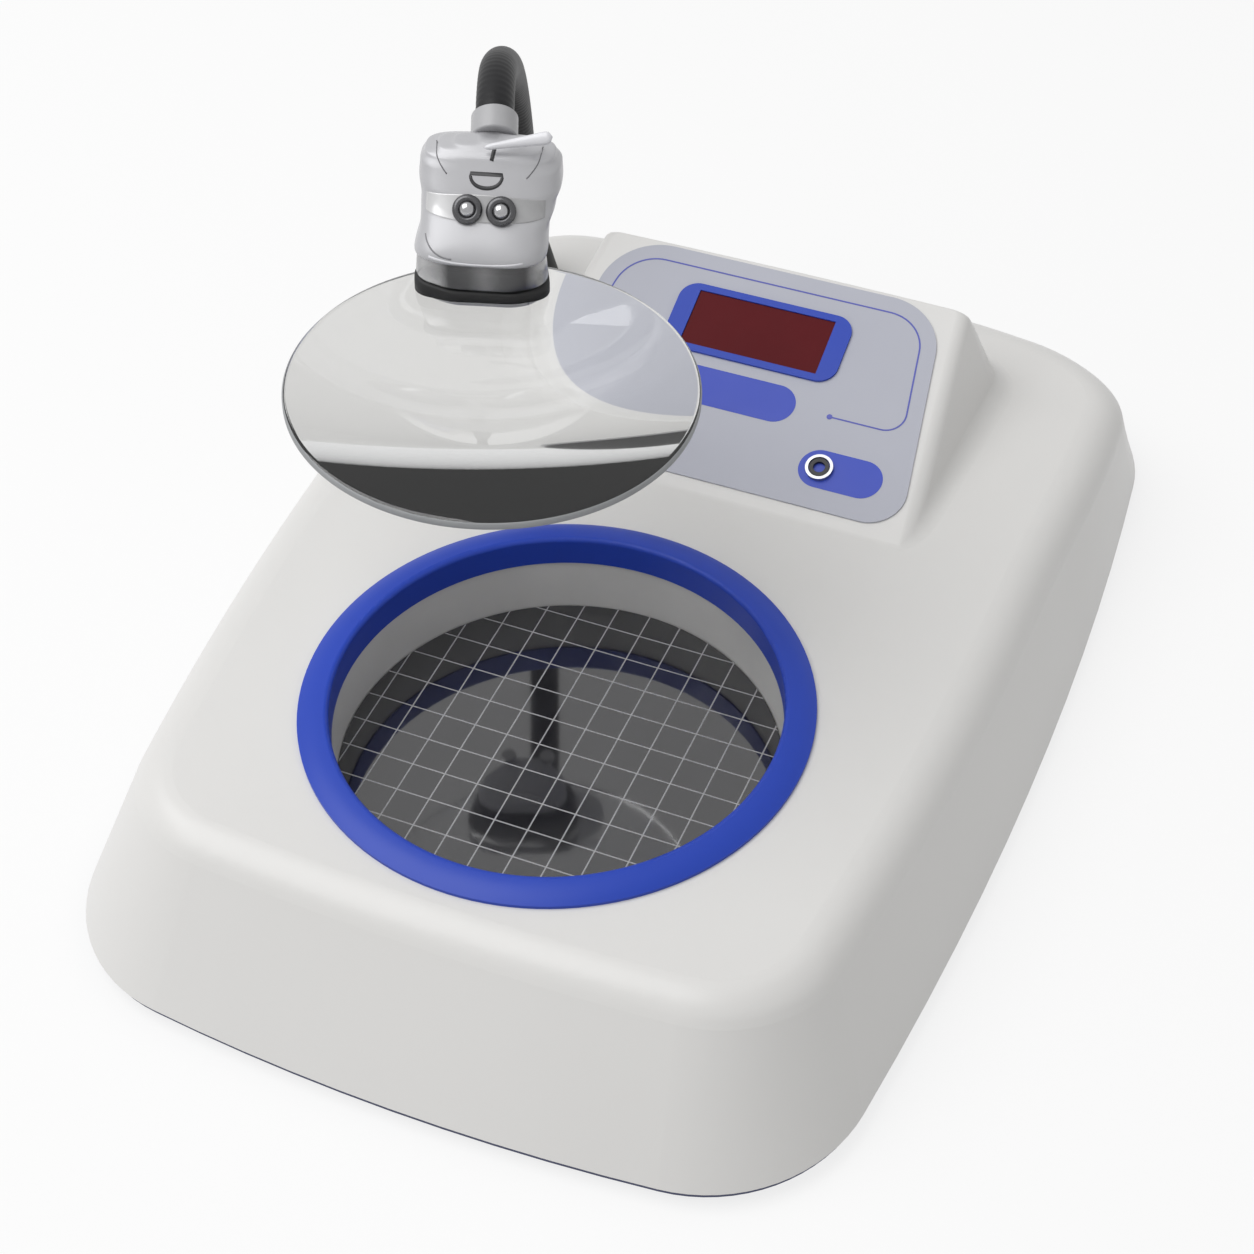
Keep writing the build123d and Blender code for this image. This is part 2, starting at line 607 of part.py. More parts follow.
def make_power_switch():
    plane = facing_rear(SWITCH_X)
    frame = extrude(RectangleRounded(15.4, 21.6, 1.5), 1.8)
    frame += Pos(0, 0, -15) * extrude(Rectangle(13, 19), 15.2)
    frame -= Pos(0, 0, -9.4) * extrude(Rectangle(10.8, 17.0), 14)
    frame -= Pos(0, 0, -2) * Rot(0, 90, 0) * Cylinder(1.2 + FIT, 12.4)
    rocker = Pos(0, 0, -2.3) * Box(10.2, 15.6, 7)
    for side in (1, -1):
        wedge = Pos(0, side * 8, 1.2) * Rot(side * -10, 0, 0) * Pos(0, 0, 2.5) * Box(12, 17, 5)
        rocker -= wedge
    rocker += Pos(0, 0, -2) * Rot(0, 90, 0) * Cylinder(1.2, 12.2)
    rocker = Pos(0, 0, -2) * Rot(ROCKER_TILT, 0, 0) * Pos(0, 0, 2) * rocker
    return plane * frame, plane * rocker


def make_fuse_holder():
    plane = facing_rear(FUSE_X)
    body = Pos(0, 0, -11) * Cylinder(FUSE_R, 22.2)
    body += Pos(0, 0, 1.1) * Cylinder(FUSE_R + 2, 2.2)
    body -= Pos(0, 0, -3) * Cylinder(3.6, 22)
    cap = Pos(0, 0, 4.6) * Cylinder(5.2, 4.6)
    cap += Pos(0, 0, -3) * Cylinder(3.6 - FIT, 12)
    cap -= Pos(0, 0, 6.6) * Box(7, 1, 1.4)
    return plane * body, plane * cap


# ================================================================ inner parts
def board_corners():
    x0, y0 = BOARD_X, CONSOLE_REAR - BOARD_SETBACK
    dx, dy = MAIN_BOARD[0] / 2 - 5, MAIN_BOARD[1] / 2 - 5
    return [(x0 + sx * dx, y0 + sy * dy) for sx in (1, -1) for sy in (1, -1)]


def make_main_board():
    z = FOOT_HEIGHT + TRAY_THICKNESS + STANDOFF_H
    x0, y0 = BOARD_X, CONSOLE_REAR - BOARD_SETBACK
    board = block(*MAIN_BOARD, z, z + BOARD_THICKNESS, x0, y0)
    for x, y in board_corners():
        board -= rod(1.6, z - 1, z + 4, x, y)
    top = z + BOARD_THICKNESS
    chips = [block(26, 9, top, top + 3.4, x0 - 8, y0 + 6), block(12, 12, top, top + 2, x0 + 22, y0 - 4)]
    chips += [rod(4, top, top + 11, x0 + 30, y0 + 16), rod(4, top, top + 11, x0 + 20, y0 + 16)]
    screws = []
    for x, y in board_corners():
        screws.append(rod(1.05, z - 5, top, x, y) + rod(2.4, top, top + 1.6, x, y))
    return board, group(chips), group(screws)


def make_transformer():
    x, y = TRANSFORMER_X, CONSOLE_REAR - TRANSFORMER_SETBACK
    z = FOOT_HEIGHT + TRAY_THICKNESS
    core = block(48, 22, z, z + 34, x, y)
    core -= block(8, 30, z + 8, z + 26, x - 12, y)
    core -= block(8, 30, z + 8, z + 26, x + 12, y)
    coil = block(31.4, 36, z + 8.3, z + 25.7, x, y)
    coil -= block(16.6, 22.6, z, z + 40, x, y)
    return core, coil


# ================================================================ neck
def make_neck_socket():
    top = DECK_HEIGHT + SOCKET_FLANGE
    low = DECK_HEIGHT - WALL - SOCKET_DEPTH
    barrel = SPIGOT_R + SOCKET_WALL
    socket = rod(SOCKET_R, DECK_HEIGHT, top) + rod(barrel, low, DECK_HEIGHT)
    socket -= rod(SPIGOT_R + FIT, low - 1, top + 1)
    nut = extrude(RegularPolygon(barrel + 1.9, 6), NUT_HEIGHT) - Cylinder(barrel + GAP, 20)
    nut_z = DECK_HEIGHT - WALL - NUT_HEIGHT - 0.1
    return Pos(ARM_X, ARM_Y, 0) * socket, Pos(ARM_X, ARM_Y, nut_z) * nut


def neck_sweep(start, end):
    """Length of the sleeve between two angles of its turn."""
    with BuildPart() as part:
        with BuildLine(arm_side):
            CenterArc((NECK_BEND_R, neck_turn_z), NECK_BEND_R, 180 - start, start - end)
        with BuildSketch(neck_frame(start)):
            Circle(NECK_R)
        sweep()
    return part.part


def make_neck_lower():
    foot = DECK_HEIGHT + SOCKET_FLANGE + 0.2
    straight = arm_plan * rod(NECK_R, foot, neck_turn_z)
    return straight + neck_sweep(0, FLEX_FROM)


def make_neck_spigot():
    foot = DECK_HEIGHT + SOCKET_FLANGE + 0.2
    low = DECK_HEIGHT - WALL - SOCKET_DEPTH
    spigot = rod(SPIGOT_R, low - 4, foot)
    clip = rod(SPIGOT_R + 2.2, low - 2.2, low - 1) - rod(SPIGOT_R, low - 5, low + 5)
    return arm_plan * spigot, arm_plan * clip


def make_neck_boot():
    foot = DECK_HEIGHT + SOCKET_FLANGE + 0.2
    top = DECK_HEIGHT + BOOT_HEIGHT
    boot = turned([(NECK_R + 0.05, foot), (BOOT_R, foot), (BOOT_R, foot + 1.6),
                   (NECK_R + 1.2, top - 1), (NECK_R + 0.8, top), (NECK_R + 0.05, top)])
    return arm_plan * boot


def make_neck_collar():
    """Grey sleeve end with the spigot that the head turns on."""
    tail = COLLAR_LENGTH + HEAD_SPIGOT_LENGTH
    collar = Pos(0, 0, COLLAR_LENGTH / 2) * Cylinder(COLLAR_R, COLLAR_LENGTH)
    collar = collar.fillet(0.6, collar.edges().group_by(Axis.Z)[-1])
    collar += Pos(0, 0, (COLLAR_LENGTH + tail) / 2) * Cylinder(HEAD_SPIGOT_R, tail - COLLAR_LENGTH)
    return neck_frame(NECK_TURN) * collar


# ================================================================ magnifier head
def clamp_outline(inset=0.0):
    """Plan of the clamp: bowed front, rounded corners.  x forward, y to the right."""
    half = HEAD_HALF - inset
    front = HEAD_FRONT - inset
    back = HEAD_FRONT - HEAD_LENGTH + inset
    shoulder = front - CLAMP_BOW
    with BuildSketch() as sk:
        with BuildLine():
            Polyline((shoulder, -half), (back + CLAMP_TAPER, -half), (back, inset - CLAMP_BACK_HALF),
                     (back, CLAMP_BACK_HALF - inset), (back + CLAMP_TAPER, half), (shoulder, half))
            ThreePointArc((shoulder, half), (front, 0), (shoulder, -half))
        make_face()
        fillet(sk.vertices(), CLAMP_CORNER - inset)
    return sk.sketch


pad_top = PAD_HEIGHT - LENS_DROP
band_top = pad_top + BAND_HEIGHT
jaw_low = -LENS_DROP - PAD_DEPTH - JAW_THICKNESS


def lens_form(extra=0.0):
    """Disc with two domed faces."""
    edge = LENS_EDGE / 2 + extra
    dome_r = (LENS_R ** 2 + LENS_DOME ** 2) / (2 * LENS_DOME)
    sink = dome_r - edge - LENS_DOME
    disc = Cylinder(LENS_R + extra, 4 * (edge + LENS_DOME))
    disc = disc & (Pos(0, 0, -sink) * Sphere(dome_r)) & (Pos(0, 0, sink) * Sphere(dome_r))
    return head * Pos(LENS_FORWARD, LENS_SIDE, -LENS_DROP) * disc


def make_clamp_pads():
    """Rubber pads that hold the rim of the lens from above and below."""
    plan = clamp_outline()
    upper = Pos(0, 0, PAD_GAP - LENS_DROP) * extrude(plan, PAD_HEIGHT - PAD_GAP)
    lower = Pos(0, 0, -PAD_DEPTH - LENS_DROP) * extrude(plan, PAD_DEPTH - PAD_GAP)
    cut = lens_form(0.02)
    return head * upper - cut, head * lower - cut


def make_clamp_jaw():
    jaw = Pos(0, 0, jaw_low) * extrude(clamp_outline(0.8), JAW_THICKNESS)
    return head * jaw.fillet(1.0, jaw.edges().group_by(Axis.Z)[0])


def make_head_band():
    return head * Pos(0, 0, pad_top) * extrude(clamp_outline(0.8), BAND_HEIGHT)


def clamp_rods(radius, low, high):
    back = HEAD_FRONT - HEAD_LENGTH + CLAMP_SCREW_BACK
    return [head * rod(radius, low, high, back, y) for y in (-CLAMP_SCREW_SIDE, CLAMP_SCREW_SIDE)]


def make_clamp_screws():
    shanks = clamp_rods(CLAMP_SCREW_R, jaw_low, band_top - 1)
    heads = clamp_rods(2 * CLAMP_SCREW_R, jaw_low - 1.5, jaw_low)
    return group([shank + top for shank, top in zip(shanks, heads)])


def drilled(part):
    """Part with the two clamp screw holes."""
    for hole in clamp_rods(CLAMP_SCREW_R + 0.1, jaw_low - 3, band_top - 0.9):
        part -= hole
    return part


face_foot = HEAD_FRONT - 1.6
# x to the right, y up the sloping face, z out of it
face = head * Location((face_foot, 0, band_top), (0, FACE_ANGLE, 0)) * Rot(0, 0, 90)


def head_side(inset=0.0):
    """Side profile of the head shell, x forward and y up: sloping face, leaning back."""
    run = FACE_LENGTH * cos(radians(FACE_ANGLE))
    rise = FACE_LENGTH * sin(radians(FACE_ANGLE))
    low = band_top
    with BuildSketch() as sk:
        with BuildLine():
            Polyline((face_foot, low), (face_foot - run, low + rise),
                     (face_foot - run - 8, low + rise), (face_foot - run - 15, low + rise - 8),
                     (face_foot - run - 12, low + 8), (face_foot - run - 2, low), close=True)
        make_face()
        fillet(sk.vertices().group_by(Axis.Y)[-1], 3.6)
        fillet(sk.vertices().group_by(Axis.X)[0], 5.0)
        if inset:
            offset(amount=-inset, kind=Kind.INTERSECTION)
    return sk.sketch


def slab(sketch, half):
    """Side profile drawn out to both sides of the head's middle plane."""
    return head * Rot(90, 0, 0) * Pos(0, 0, -half) * extrude(sketch, 2 * half)


def head_outline(inset=0.0):
    """Front outline of the head shell: a waist at the lamps under a wider hood."""
    low = band_top + inset
    sides = [(18.4, 0.0), (17.2, 5.5), (18.0, 10.5), (19.6, 15.5), (18.4, 20.3), (13.0, 23.0), (0.0, 24.4)]
    right = [(x - inset * min(1, x), band_top + z - inset * (z > 0)) for x, z in sides[1:]]
    foot = (sides[0][0] - inset, low)
    left = [(-x, z) for x, z in reversed(right[:-1])]
    with BuildSketch() as sk:
        with BuildLine():
            Spline(foot, *right, *left, (-foot[0], foot[1]))
            Line((-foot[0], foot[1]), foot)
        make_face()
    return sk.sketch


def head_form(inset=0.0):
    half = HEAD_HALF + 5
    front = head * Rot(0, 0, 90) * Rot(90, 0, 0) * Pos(0, 0, -60)
    return slab(head_side(inset), half) & front * extrude(head_outline(inset), 120)


def make_head_shell():
    shell = head_form()
    rim = [e for e in shell.edges() if Plane(head).to_local_coords(e.center()).Z > band_top + 1]
    shell = shell.fillet(HEAD_EDGE, rim)
    shell -= head_form(HEAD_WALL)
    for x in (-LED_X, LED_X):
        shell -= face * Pos(x, LED_F, 0) * Cylinder(LED_R - 0.5, 10)
    shell -= face * extrude(switch_panel_outline(0.15), 4, both=True)
    shell -= face * Pos(0, 0, -NOTCH_GROOVE) * extrude(notch_outline() - notch_outline(0.9), 4)
    shell -= neck_frame(NECK_TURN) * Pos(0, 0, 10) * Cylinder(HEAD_SPIGOT_R + FIT, 24)
    return shell - neck_frame(NECK_TURN) * Cylinder(COLLAR_R + GAP, 2 * COLLAR_LENGTH + 1)


def switch_panel_outline(grow=0.0):
    """Switch panel between its two seams; it narrows towards the lamps."""
    low, high = SWITCH_PANEL_LOW - grow, SWITCH_PANEL_HIGH + grow
    half_low, half_high = SWITCH_PANEL_HALF_LOW + grow, SWITCH_PANEL_HALF_HIGH + grow
    with BuildSketch() as sk:
        with BuildLine():
            Polyline((-half_low, low), (half_low, low), (half_high, high), (-half_high, high),
                     close=True)
        make_face()
        fillet(sk.vertices(), 1.2)
    return sk.sketch


def notch_outline(inset=0.0):
    """D-shaped catch under the switch panel, flat side up."""
    top = SWITCH_PANEL_LOW - 0.9 - inset
    half = NOTCH_HALF - inset
    with BuildSketch() as sk:
        with BuildLine():
            Line((half, top), (-half, top))
            ThreePointArc((-half, top), (0, SWITCH_PANEL_LOW - 0.9 - NOTCH_DEPTH + inset), (half, top))
        make_face()
    return sk.sketch


def make_switch_panel():
    """Panel that the lever's pin turns in."""
    panel = face * extrude(switch_panel_outline(), -HEAD_WALL + 0.1)
    return panel - lever_frame() * Cylinder(LEVER_PIN_R + FIT, 12)


def make_lamps():
    bezels, bulbs = [], []
    for x in (-LED_X, LED_X):
        ring = Pos(x, LED_F, 0.6) * Cylinder(LED_R, 1.2)
        ring += Pos(x, LED_F, -1) * Cylinder(LED_R - 0.6, 2.4)
        ring -= Pos(x, LED_F, 0) * Cylinder(LED_R - 1.3, 8)
        bezels.append(face * ring)
        bulb = Pos(x, LED_F, -1.6) * Cylinder(LED_R - 1.4, 3.2)
        bulb += Pos(x, LED_F, 0) * Sphere(LED_R - 1.4)
        bulbs.append(face * bulb)
    return group(bezels), group(bulbs)


def make_lamp_lever():
    """Switch lever that swings over the top of the head on its pivot pin."""
    arm = Pos(LEVER_LENGTH / 2, 0, 1.6) * Box(LEVER_LENGTH, 3.2, 1.6)
    arm = arm.fillet(0.7, arm.edges().filter_by(Axis.Z))
    arm += Pos(0, 0, 1.2) * Cylinder(2.4, 2.4)
    pin = Pos(0, 0, -2) * Cylinder(LEVER_PIN_R, 4.4)
    return lever_frame() * (arm + pin)


def lever_frame():
    """Pivot of the lever, on the face's upper end; x points to the right."""
    return face * Pos(LEVER_X, LEVER_F, 0.3) * Rot(0, 0, LEVER_TURN)


NODES = {}


def build_nodes():
    tray_parts = {
        "top_housing": make_top_housing(),
        "base_tray": make_base_tray(),
        "tray_screws": make_tray_screws(),
        "rubber_feet": make_feet(),
        "bezel_ring": make_bezel_ring(),
        "well_liner": make_well_liner(),
        "grid_plate": make_grid_plate(),
        "lamp_bowl": make_lamp_bowl(),
        "rear_panel": make_rear_panel(),
        "panel_overlay": make_panel_overlay(),
        "display_frame": make_display_frame(),
        "display_window": make_display_window(),
        "display_module": make_display_module(),
        "neck_lower": make_neck_lower(),
        "neck_flex": neck_sweep(FLEX_FROM, FLEX_TO),
        "neck_upper": neck_sweep(FLEX_TO, NECK_TURN),
        "neck_boot": make_neck_boot(),
        "neck_collar": make_neck_collar(),
        "lens": lens_form(),
        "clamp_jaw": drilled(make_clamp_jaw()),
        "head_band": drilled(make_head_band()),
        "clamp_screws": make_clamp_screws(),
        "switch_panel": make_switch_panel(),
        "lamp_lever": make_lamp_lever(),
    }
    NODES.update(tray_parts)
    NODES["lamp_ring"], NODES["ring_lamps"] = make_lamp_ring()
    NODES["display_board"], NODES["display_posts"] = make_display_board()
    NODES["probe_jack"], NODES["jack_nut"] = make_probe_jack()
    NODES["reset_button"], NODES["reset_switch"] = make_reset_button()
    NODES["power_inlet"], NODES["inlet_pins"], NODES["inlet_screws"] = make_power_inlet()
    NODES["power_switch"], NODES["power_rocker"] = make_power_switch()
    NODES["fuse_holder"], NODES["fuse_cap"] = make_fuse_holder()
    NODES["main_board"], NODES["board_chips"], NODES["board_screws"] = make_main_board()
    NODES["transformer_core"], NODES["transformer_coil"] = make_transformer()
    NODES["neck_socket"], NODES["socket_nut"] = make_neck_socket()
    NODES["neck_spigot"], NODES["spigot_clip"] = make_neck_spigot()
    upper, lower = make_clamp_pads()
    NODES["clamp_pad_upper"], NODES["clamp_pad_lower"] = drilled(upper), drilled(lower)
    NODES["head_shell"] = make_head_shell()
    NODES["lamp_bezels"], NODES["lamp_bulbs"] = make_lamps()


if __name__ == "__main__":
    os.makedirs("parts", exist_ok=True)
    build_nodes()
    for name, part in NODES.items():
        export_step(part, "parts/" + name + ".step")
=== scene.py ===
import json
from math import atan2, cos, pi, radians, sin, sqrt, tan

import bmesh
import bpy
from mathutils import Matrix, Vector


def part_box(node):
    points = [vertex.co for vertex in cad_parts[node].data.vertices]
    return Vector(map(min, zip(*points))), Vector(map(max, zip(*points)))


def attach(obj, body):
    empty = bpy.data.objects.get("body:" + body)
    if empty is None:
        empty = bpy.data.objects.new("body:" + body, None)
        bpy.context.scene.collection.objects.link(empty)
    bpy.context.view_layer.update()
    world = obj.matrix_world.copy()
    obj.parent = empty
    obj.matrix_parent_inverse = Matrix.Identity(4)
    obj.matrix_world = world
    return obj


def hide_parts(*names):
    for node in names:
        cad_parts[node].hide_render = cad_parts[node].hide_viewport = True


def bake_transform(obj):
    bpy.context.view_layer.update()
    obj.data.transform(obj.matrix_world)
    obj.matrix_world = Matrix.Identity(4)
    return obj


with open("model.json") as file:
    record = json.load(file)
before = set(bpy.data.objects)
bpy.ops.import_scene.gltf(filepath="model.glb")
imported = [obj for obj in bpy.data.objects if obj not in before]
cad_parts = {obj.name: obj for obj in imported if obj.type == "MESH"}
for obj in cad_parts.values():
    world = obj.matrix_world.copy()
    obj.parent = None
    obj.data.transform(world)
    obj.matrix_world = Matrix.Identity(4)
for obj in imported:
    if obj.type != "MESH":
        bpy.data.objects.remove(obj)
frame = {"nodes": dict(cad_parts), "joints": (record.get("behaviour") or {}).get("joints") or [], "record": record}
bpy.context.scene.view_settings.view_transform = "Standard"
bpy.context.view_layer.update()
nodes = frame["nodes"]
joints = {joint["name"]: joint for joint in frame["joints"]}
UP = Vector((0, 0, 1))


# ---------------------------------------------------------------- colour
def srgb(red, green, blue):
    """Linear colour from 0-255 display values."""
    def linear(value):
        share = value / 255
        return share / 12.92 if share <= 0.04045 else ((share + 0.055) / 1.055) ** 2.4
    return linear(red), linear(green), linear(blue), 1.0


def grey(value):
    """Grey with a trace of blue."""
    return srgb(value, value, value + 1)


def scaled(colour, factor):
    """Colour made darker or lighter by a factor."""
    return tuple(min(c * factor, 1.0) for c in colour[:3]) + (1.0,)


# ---------------------------------------------------------------- materials
NOISE_LOW, NOISE_HIGH = 0.3, 0.7    # most of a noise lies between these
PLASTIC_IOR = 1.5
PLATE_IOR = 2.0                     # the plate mirrors more than plain glass does
INK_ROUGHNESS = 0.55
TOP_FACE = 0.9                      # faces whose normal's z is over this carry the grid
BRUSH_STRETCH = (1.0, 1.0, 0.04)    # the lines of turned metal run along z
BRUSH_SCALE = 3500.0


def put(node, values):
    """Constants on a node's sockets."""
    for socket, value in values.items():
        node.inputs[socket].default_value = value


class Nodes:
    """Small builder for a material's node tree."""

    def __init__(self, name):
        self.material = bpy.data.materials.new(name)
        self.material.use_nodes = True
        self.tree = self.material.node_tree
        self.shader = self.tree.nodes["Principled BSDF"]
        self.place = self.add("ShaderNodeTexCoord").outputs["Object"]

    def add(self, kind, **settings):
        node = self.tree.nodes.new(kind)
        for key, value in settings.items():
            setattr(node, key, value)
        return node

    def link(self, source, target):
        self.tree.links.new(source, target)

    def feed(self, socket, source):
        """Drive one of the shader's sockets."""
        self.link(source, self.shader.inputs[socket])

    def calc(self, operation, first, second):
        """Math node on a socket and a second socket or constant."""
        node = self.add("ShaderNodeMath", operation=operation)
        self.link(first, node.inputs[0])
        if isinstance(second, float):
            node.inputs[1].default_value = second
        else:
            self.link(second, node.inputs[1])
        return node.outputs[0]

    def noise(self, size, detail=3.0):
        """Noise with features of about the given size in metres."""
        node = self.add("ShaderNodeTexNoise")
        put(node, {"Scale": 1 / size, "Detail": detail})
        self.link(self.place, node.inputs["Vector"])
        return node.outputs["Fac"]

    def ramp(self, source, stops):
        node = self.add("ShaderNodeValToRGB")
        elements = node.color_ramp.elements
        while len(elements) < len(stops):
            elements.new(0.5)
        for element, (position, colour) in zip(elements, stops):
            element.position = position
            element.color = colour
        self.link(source, node.inputs["Fac"])
        return node.outputs["Color"]

    def drift(self, noise, low, high):
        """Colour that wanders with a noise, between two colours."""
        return self.ramp(noise, [(NOISE_LOW, low), (NOISE_HIGH, high)])

    def spread(self, source, low, high):
        """Source from 0-1 to low-high."""
        node = self.add("ShaderNodeMapRange")
        put(node, {"To Min": low, "To Max": high})
        self.link(source, node.inputs["Value"])
        return node.outputs["Result"]

    def bump(self, height, depth):
        """Bump from a height of 0-1, with the given depth in metres."""
        node = self.add("ShaderNodeBump")
        put(node, {"Distance": depth})
        self.link(height, node.inputs["Height"])
        self.feed("Normal", node.outputs["Normal"])


def finish_of(name, colour, roughness, metallic=0.0, vary=0.03, patch=0.03, grain=0.0006,
              depth=0.00001, coat=0.0, coat_roughness=0.1, specular=0.5):
    """Moulded, painted or plated finish: slow colour drift, uneven gloss and fine grain."""
    made = Nodes(name)
    made.feed("Base Color", made.drift(made.noise(patch), scaled(colour, 1 - vary),
                                       scaled(colour, 1 + vary)))
    smear = made.noise(patch * 0.4, detail=5.0)
    made.feed("Roughness", made.spread(smear, max(roughness - 0.05, 0.02), roughness + 0.05))
    put(made.shader, {"Metallic": metallic, "Coat Weight": coat, "Coat Roughness": coat_roughness,
                      "IOR": PLASTIC_IOR, "Specular IOR Level": specular})
    made.bump(made.noise(grain, detail=2.0), depth)
    return made.material


def brushed(name, colour, roughness):
    """Drawn or turned metal with fine lines along z."""
    made = Nodes(name)
    stretch = made.add("ShaderNodeMapping")
    put(stretch, {"Scale": BRUSH_STRETCH})
    made.link(made.place, stretch.inputs["Vector"])
    lines = made.add("ShaderNodeTexNoise")
    put(lines, {"Scale": BRUSH_SCALE, "Detail": 3.0})
    made.link(stretch.outputs["Vector"], lines.inputs["Vector"])
    made.feed("Base Color", made.drift(made.noise(0.01), scaled(colour, 0.9), colour))
    made.feed("Roughness", made.spread(lines.outputs["Fac"], roughness - 0.06, roughness + 0.08))
    put(made.shader, {"Metallic": 1.0})
    made.bump(lines.outputs["Fac"], 0.000008)
    return made.material


def across(name, axis, origin, reach, stops, roughness, metallic, coat=0.0):
    """Colour ramp along one axis, from -reach to reach about the origin, that paints light and shade onto a
    finish, with a faint random tone.
    """
    made = Nodes(name)
    along = made.add("ShaderNodeVectorMath", operation="DOT_PRODUCT")
    made.link(made.place, along.inputs[0])
    along.inputs[1].default_value = axis
    place = made.add("ShaderNodeMapRange")
    middle = Vector(origin).dot(Vector(axis))
    put(place, {"From Min": middle - reach, "From Max": middle + reach})
    made.link(along.outputs["Value"], place.inputs["Value"])
    mix = made.add("ShaderNodeMix", data_type="RGBA", blend_type="MULTIPLY")
    mix.inputs["Factor"].default_value = 1.0
    made.link(made.ramp(place.outputs["Result"], stops), mix.inputs["A"])
    made.link(made.drift(made.noise(0.003, detail=4.0), (0.94, 0.94, 0.94, 1), (1, 1, 1, 1)),
              mix.inputs["B"])
    made.feed("Base Color", mix.outputs["Result"])
    made.feed("Roughness", made.spread(made.noise(0.004), roughness - 0.03, roughness + 0.03))
    put(made.shader, {"Metallic": metallic, "Coat Weight": coat, "Coat Roughness": 0.08})
    made.bump(made.noise(0.0006), 0.000002)
    return made.material


def grid_glass(name, start, pitch, line, ink, dark, pane_roughness):
    """Dark polished plate with a counting grid on its top; two lines cross at the start."""
    made = Nodes(name)
    split = made.add("ShaderNodeSeparateXYZ")
    made.link(made.place, split.inputs[0])
    masks = []
    for axis, offset in zip("XY", start):
        shifted = made.calc("SUBTRACT", split.outputs[axis], offset)
        nearest = made.calc("PINGPONG", shifted, pitch / 2)
        masks.append(made.calc("LESS_THAN", nearest, line / 2))
    facing = made.add("ShaderNodeSeparateXYZ")
    made.link(made.add("ShaderNodeNewGeometry").outputs["Normal"], facing.inputs[0])
    upward = made.calc("GREATER_THAN", facing.outputs["Z"], TOP_FACE)
    printed = made.calc("MULTIPLY", made.calc("MAXIMUM", *masks), upward)
    mix = made.add("ShaderNodeMix", data_type="RGBA")
    made.link(printed, mix.inputs["Factor"])
    made.link(made.drift(made.noise(0.02, detail=4.0), scaled(dark, 0.85), scaled(dark, 1.15)),
              mix.inputs["A"])
    mix.inputs["B"].default_value = ink
    made.feed("Base Color", mix.outputs["Result"])
    made.feed("Roughness", made.spread(printed, pane_roughness, INK_ROUGHNESS))
    put(made.shader, {"IOR": PLATE_IOR})
    return made.material


def clear_glass(name, tint, ior):
    """Clear optical plastic with faint surface dust."""
    made = Nodes(name)
    put(made.shader, {"Base Color": tint, "Transmission Weight": 1.0, "IOR": ior})
    dust = made.noise(0.012, detail=6.0)
    made.feed("Roughness", made.ramp(dust, [(0.0, (0.0, 0.0, 0.0, 1)),
                                            (1.0, (0.03, 0.03, 0.03, 1))]))
    return made.material


WHITE = srgb(222, 221, 219)
BLUE = srgb(32, 66, 178)
PRINT_BLUE = srgb(45, 70, 185)
LILAC = srgb(179, 181, 192)
SILVER = srgb(186, 186, 189)
BLACK = srgb(26, 26, 27)
NECK_GREY = srgb(28, 28, 30)

# housing and base
housing_white = finish_of("housing_white", WHITE, 0.34, vary=0.012, patch=0.08, grain=0.0009,
                          depth=0.000006)
tray_blue = finish_of("tray_blue", srgb(40, 48, 88), 0.5, vary=0.08, patch=0.02, depth=0.00002)
rubber = finish_of("rubber", BLACK, 0.62, vary=0.12, patch=0.012, grain=0.0005, depth=0.00002)
steel = brushed("steel", srgb(190, 190, 192), 0.3)
brass = brushed("brass", srgb(196, 168, 96), 0.3)
plastic_black = finish_of("plastic_black", srgb(32, 32, 34), 0.42, vary=0.08, patch=0.01,
                          depth=0.000015)
plastic_grey = finish_of("plastic_grey", srgb(170, 170, 172), 0.35, vary=0.04, patch=0.01)
button_blue = finish_of("button_blue", BLUE, 0.35, vary=0.03, patch=0.01)
board_green = finish_of("board_green", srgb(36, 92, 58), 0.45, vary=0.15, patch=0.004,
                        depth=0.00002)
chip_black = finish_of("chip_black", srgb(34, 34, 36), 0.55, vary=0.1, patch=0.004)
copper = finish_of("copper", srgb(150, 84, 46), 0.4, metallic=0.8, vary=0.1, patch=0.003,
                   grain=0.0006, depth=0.00006)
# dish well
bezel_blue = finish_of("bezel_blue", BLUE, 0.36, specular=0.35, vary=0.03, patch=0.04,
                       grain=0.0005, depth=0.000008)
liner_grey = finish_of("liner_grey", srgb(214, 213, 210), 0.45, vary=0.05, patch=0.03,
                       depth=0.000012)
bowl_white = finish_of("bowl_white", srgb(214, 214, 210), 0.5, vary=0.03, patch=0.03)
lamp_white = finish_of("lamp_white", srgb(240, 238, 225), 0.25, vary=0.03, patch=0.003)
# console
overlay_film = finish_of("overlay_film", LILAC, 0.42, vary=0.02, patch=0.05, grain=0.00035,
                         depth=0.000008)
window_red = finish_of("window_red", srgb(92, 24, 29), 0.3, vary=0.05, patch=0.02, grain=0.002,
                       depth=0.000001, specular=0.06)
print_blue = finish_of("print_blue", PRINT_BLUE, 0.4, vary=0.03, patch=0.02)
print_line = finish_of("print_line", srgb(86, 92, 178), 0.45, vary=0.04, patch=0.01)
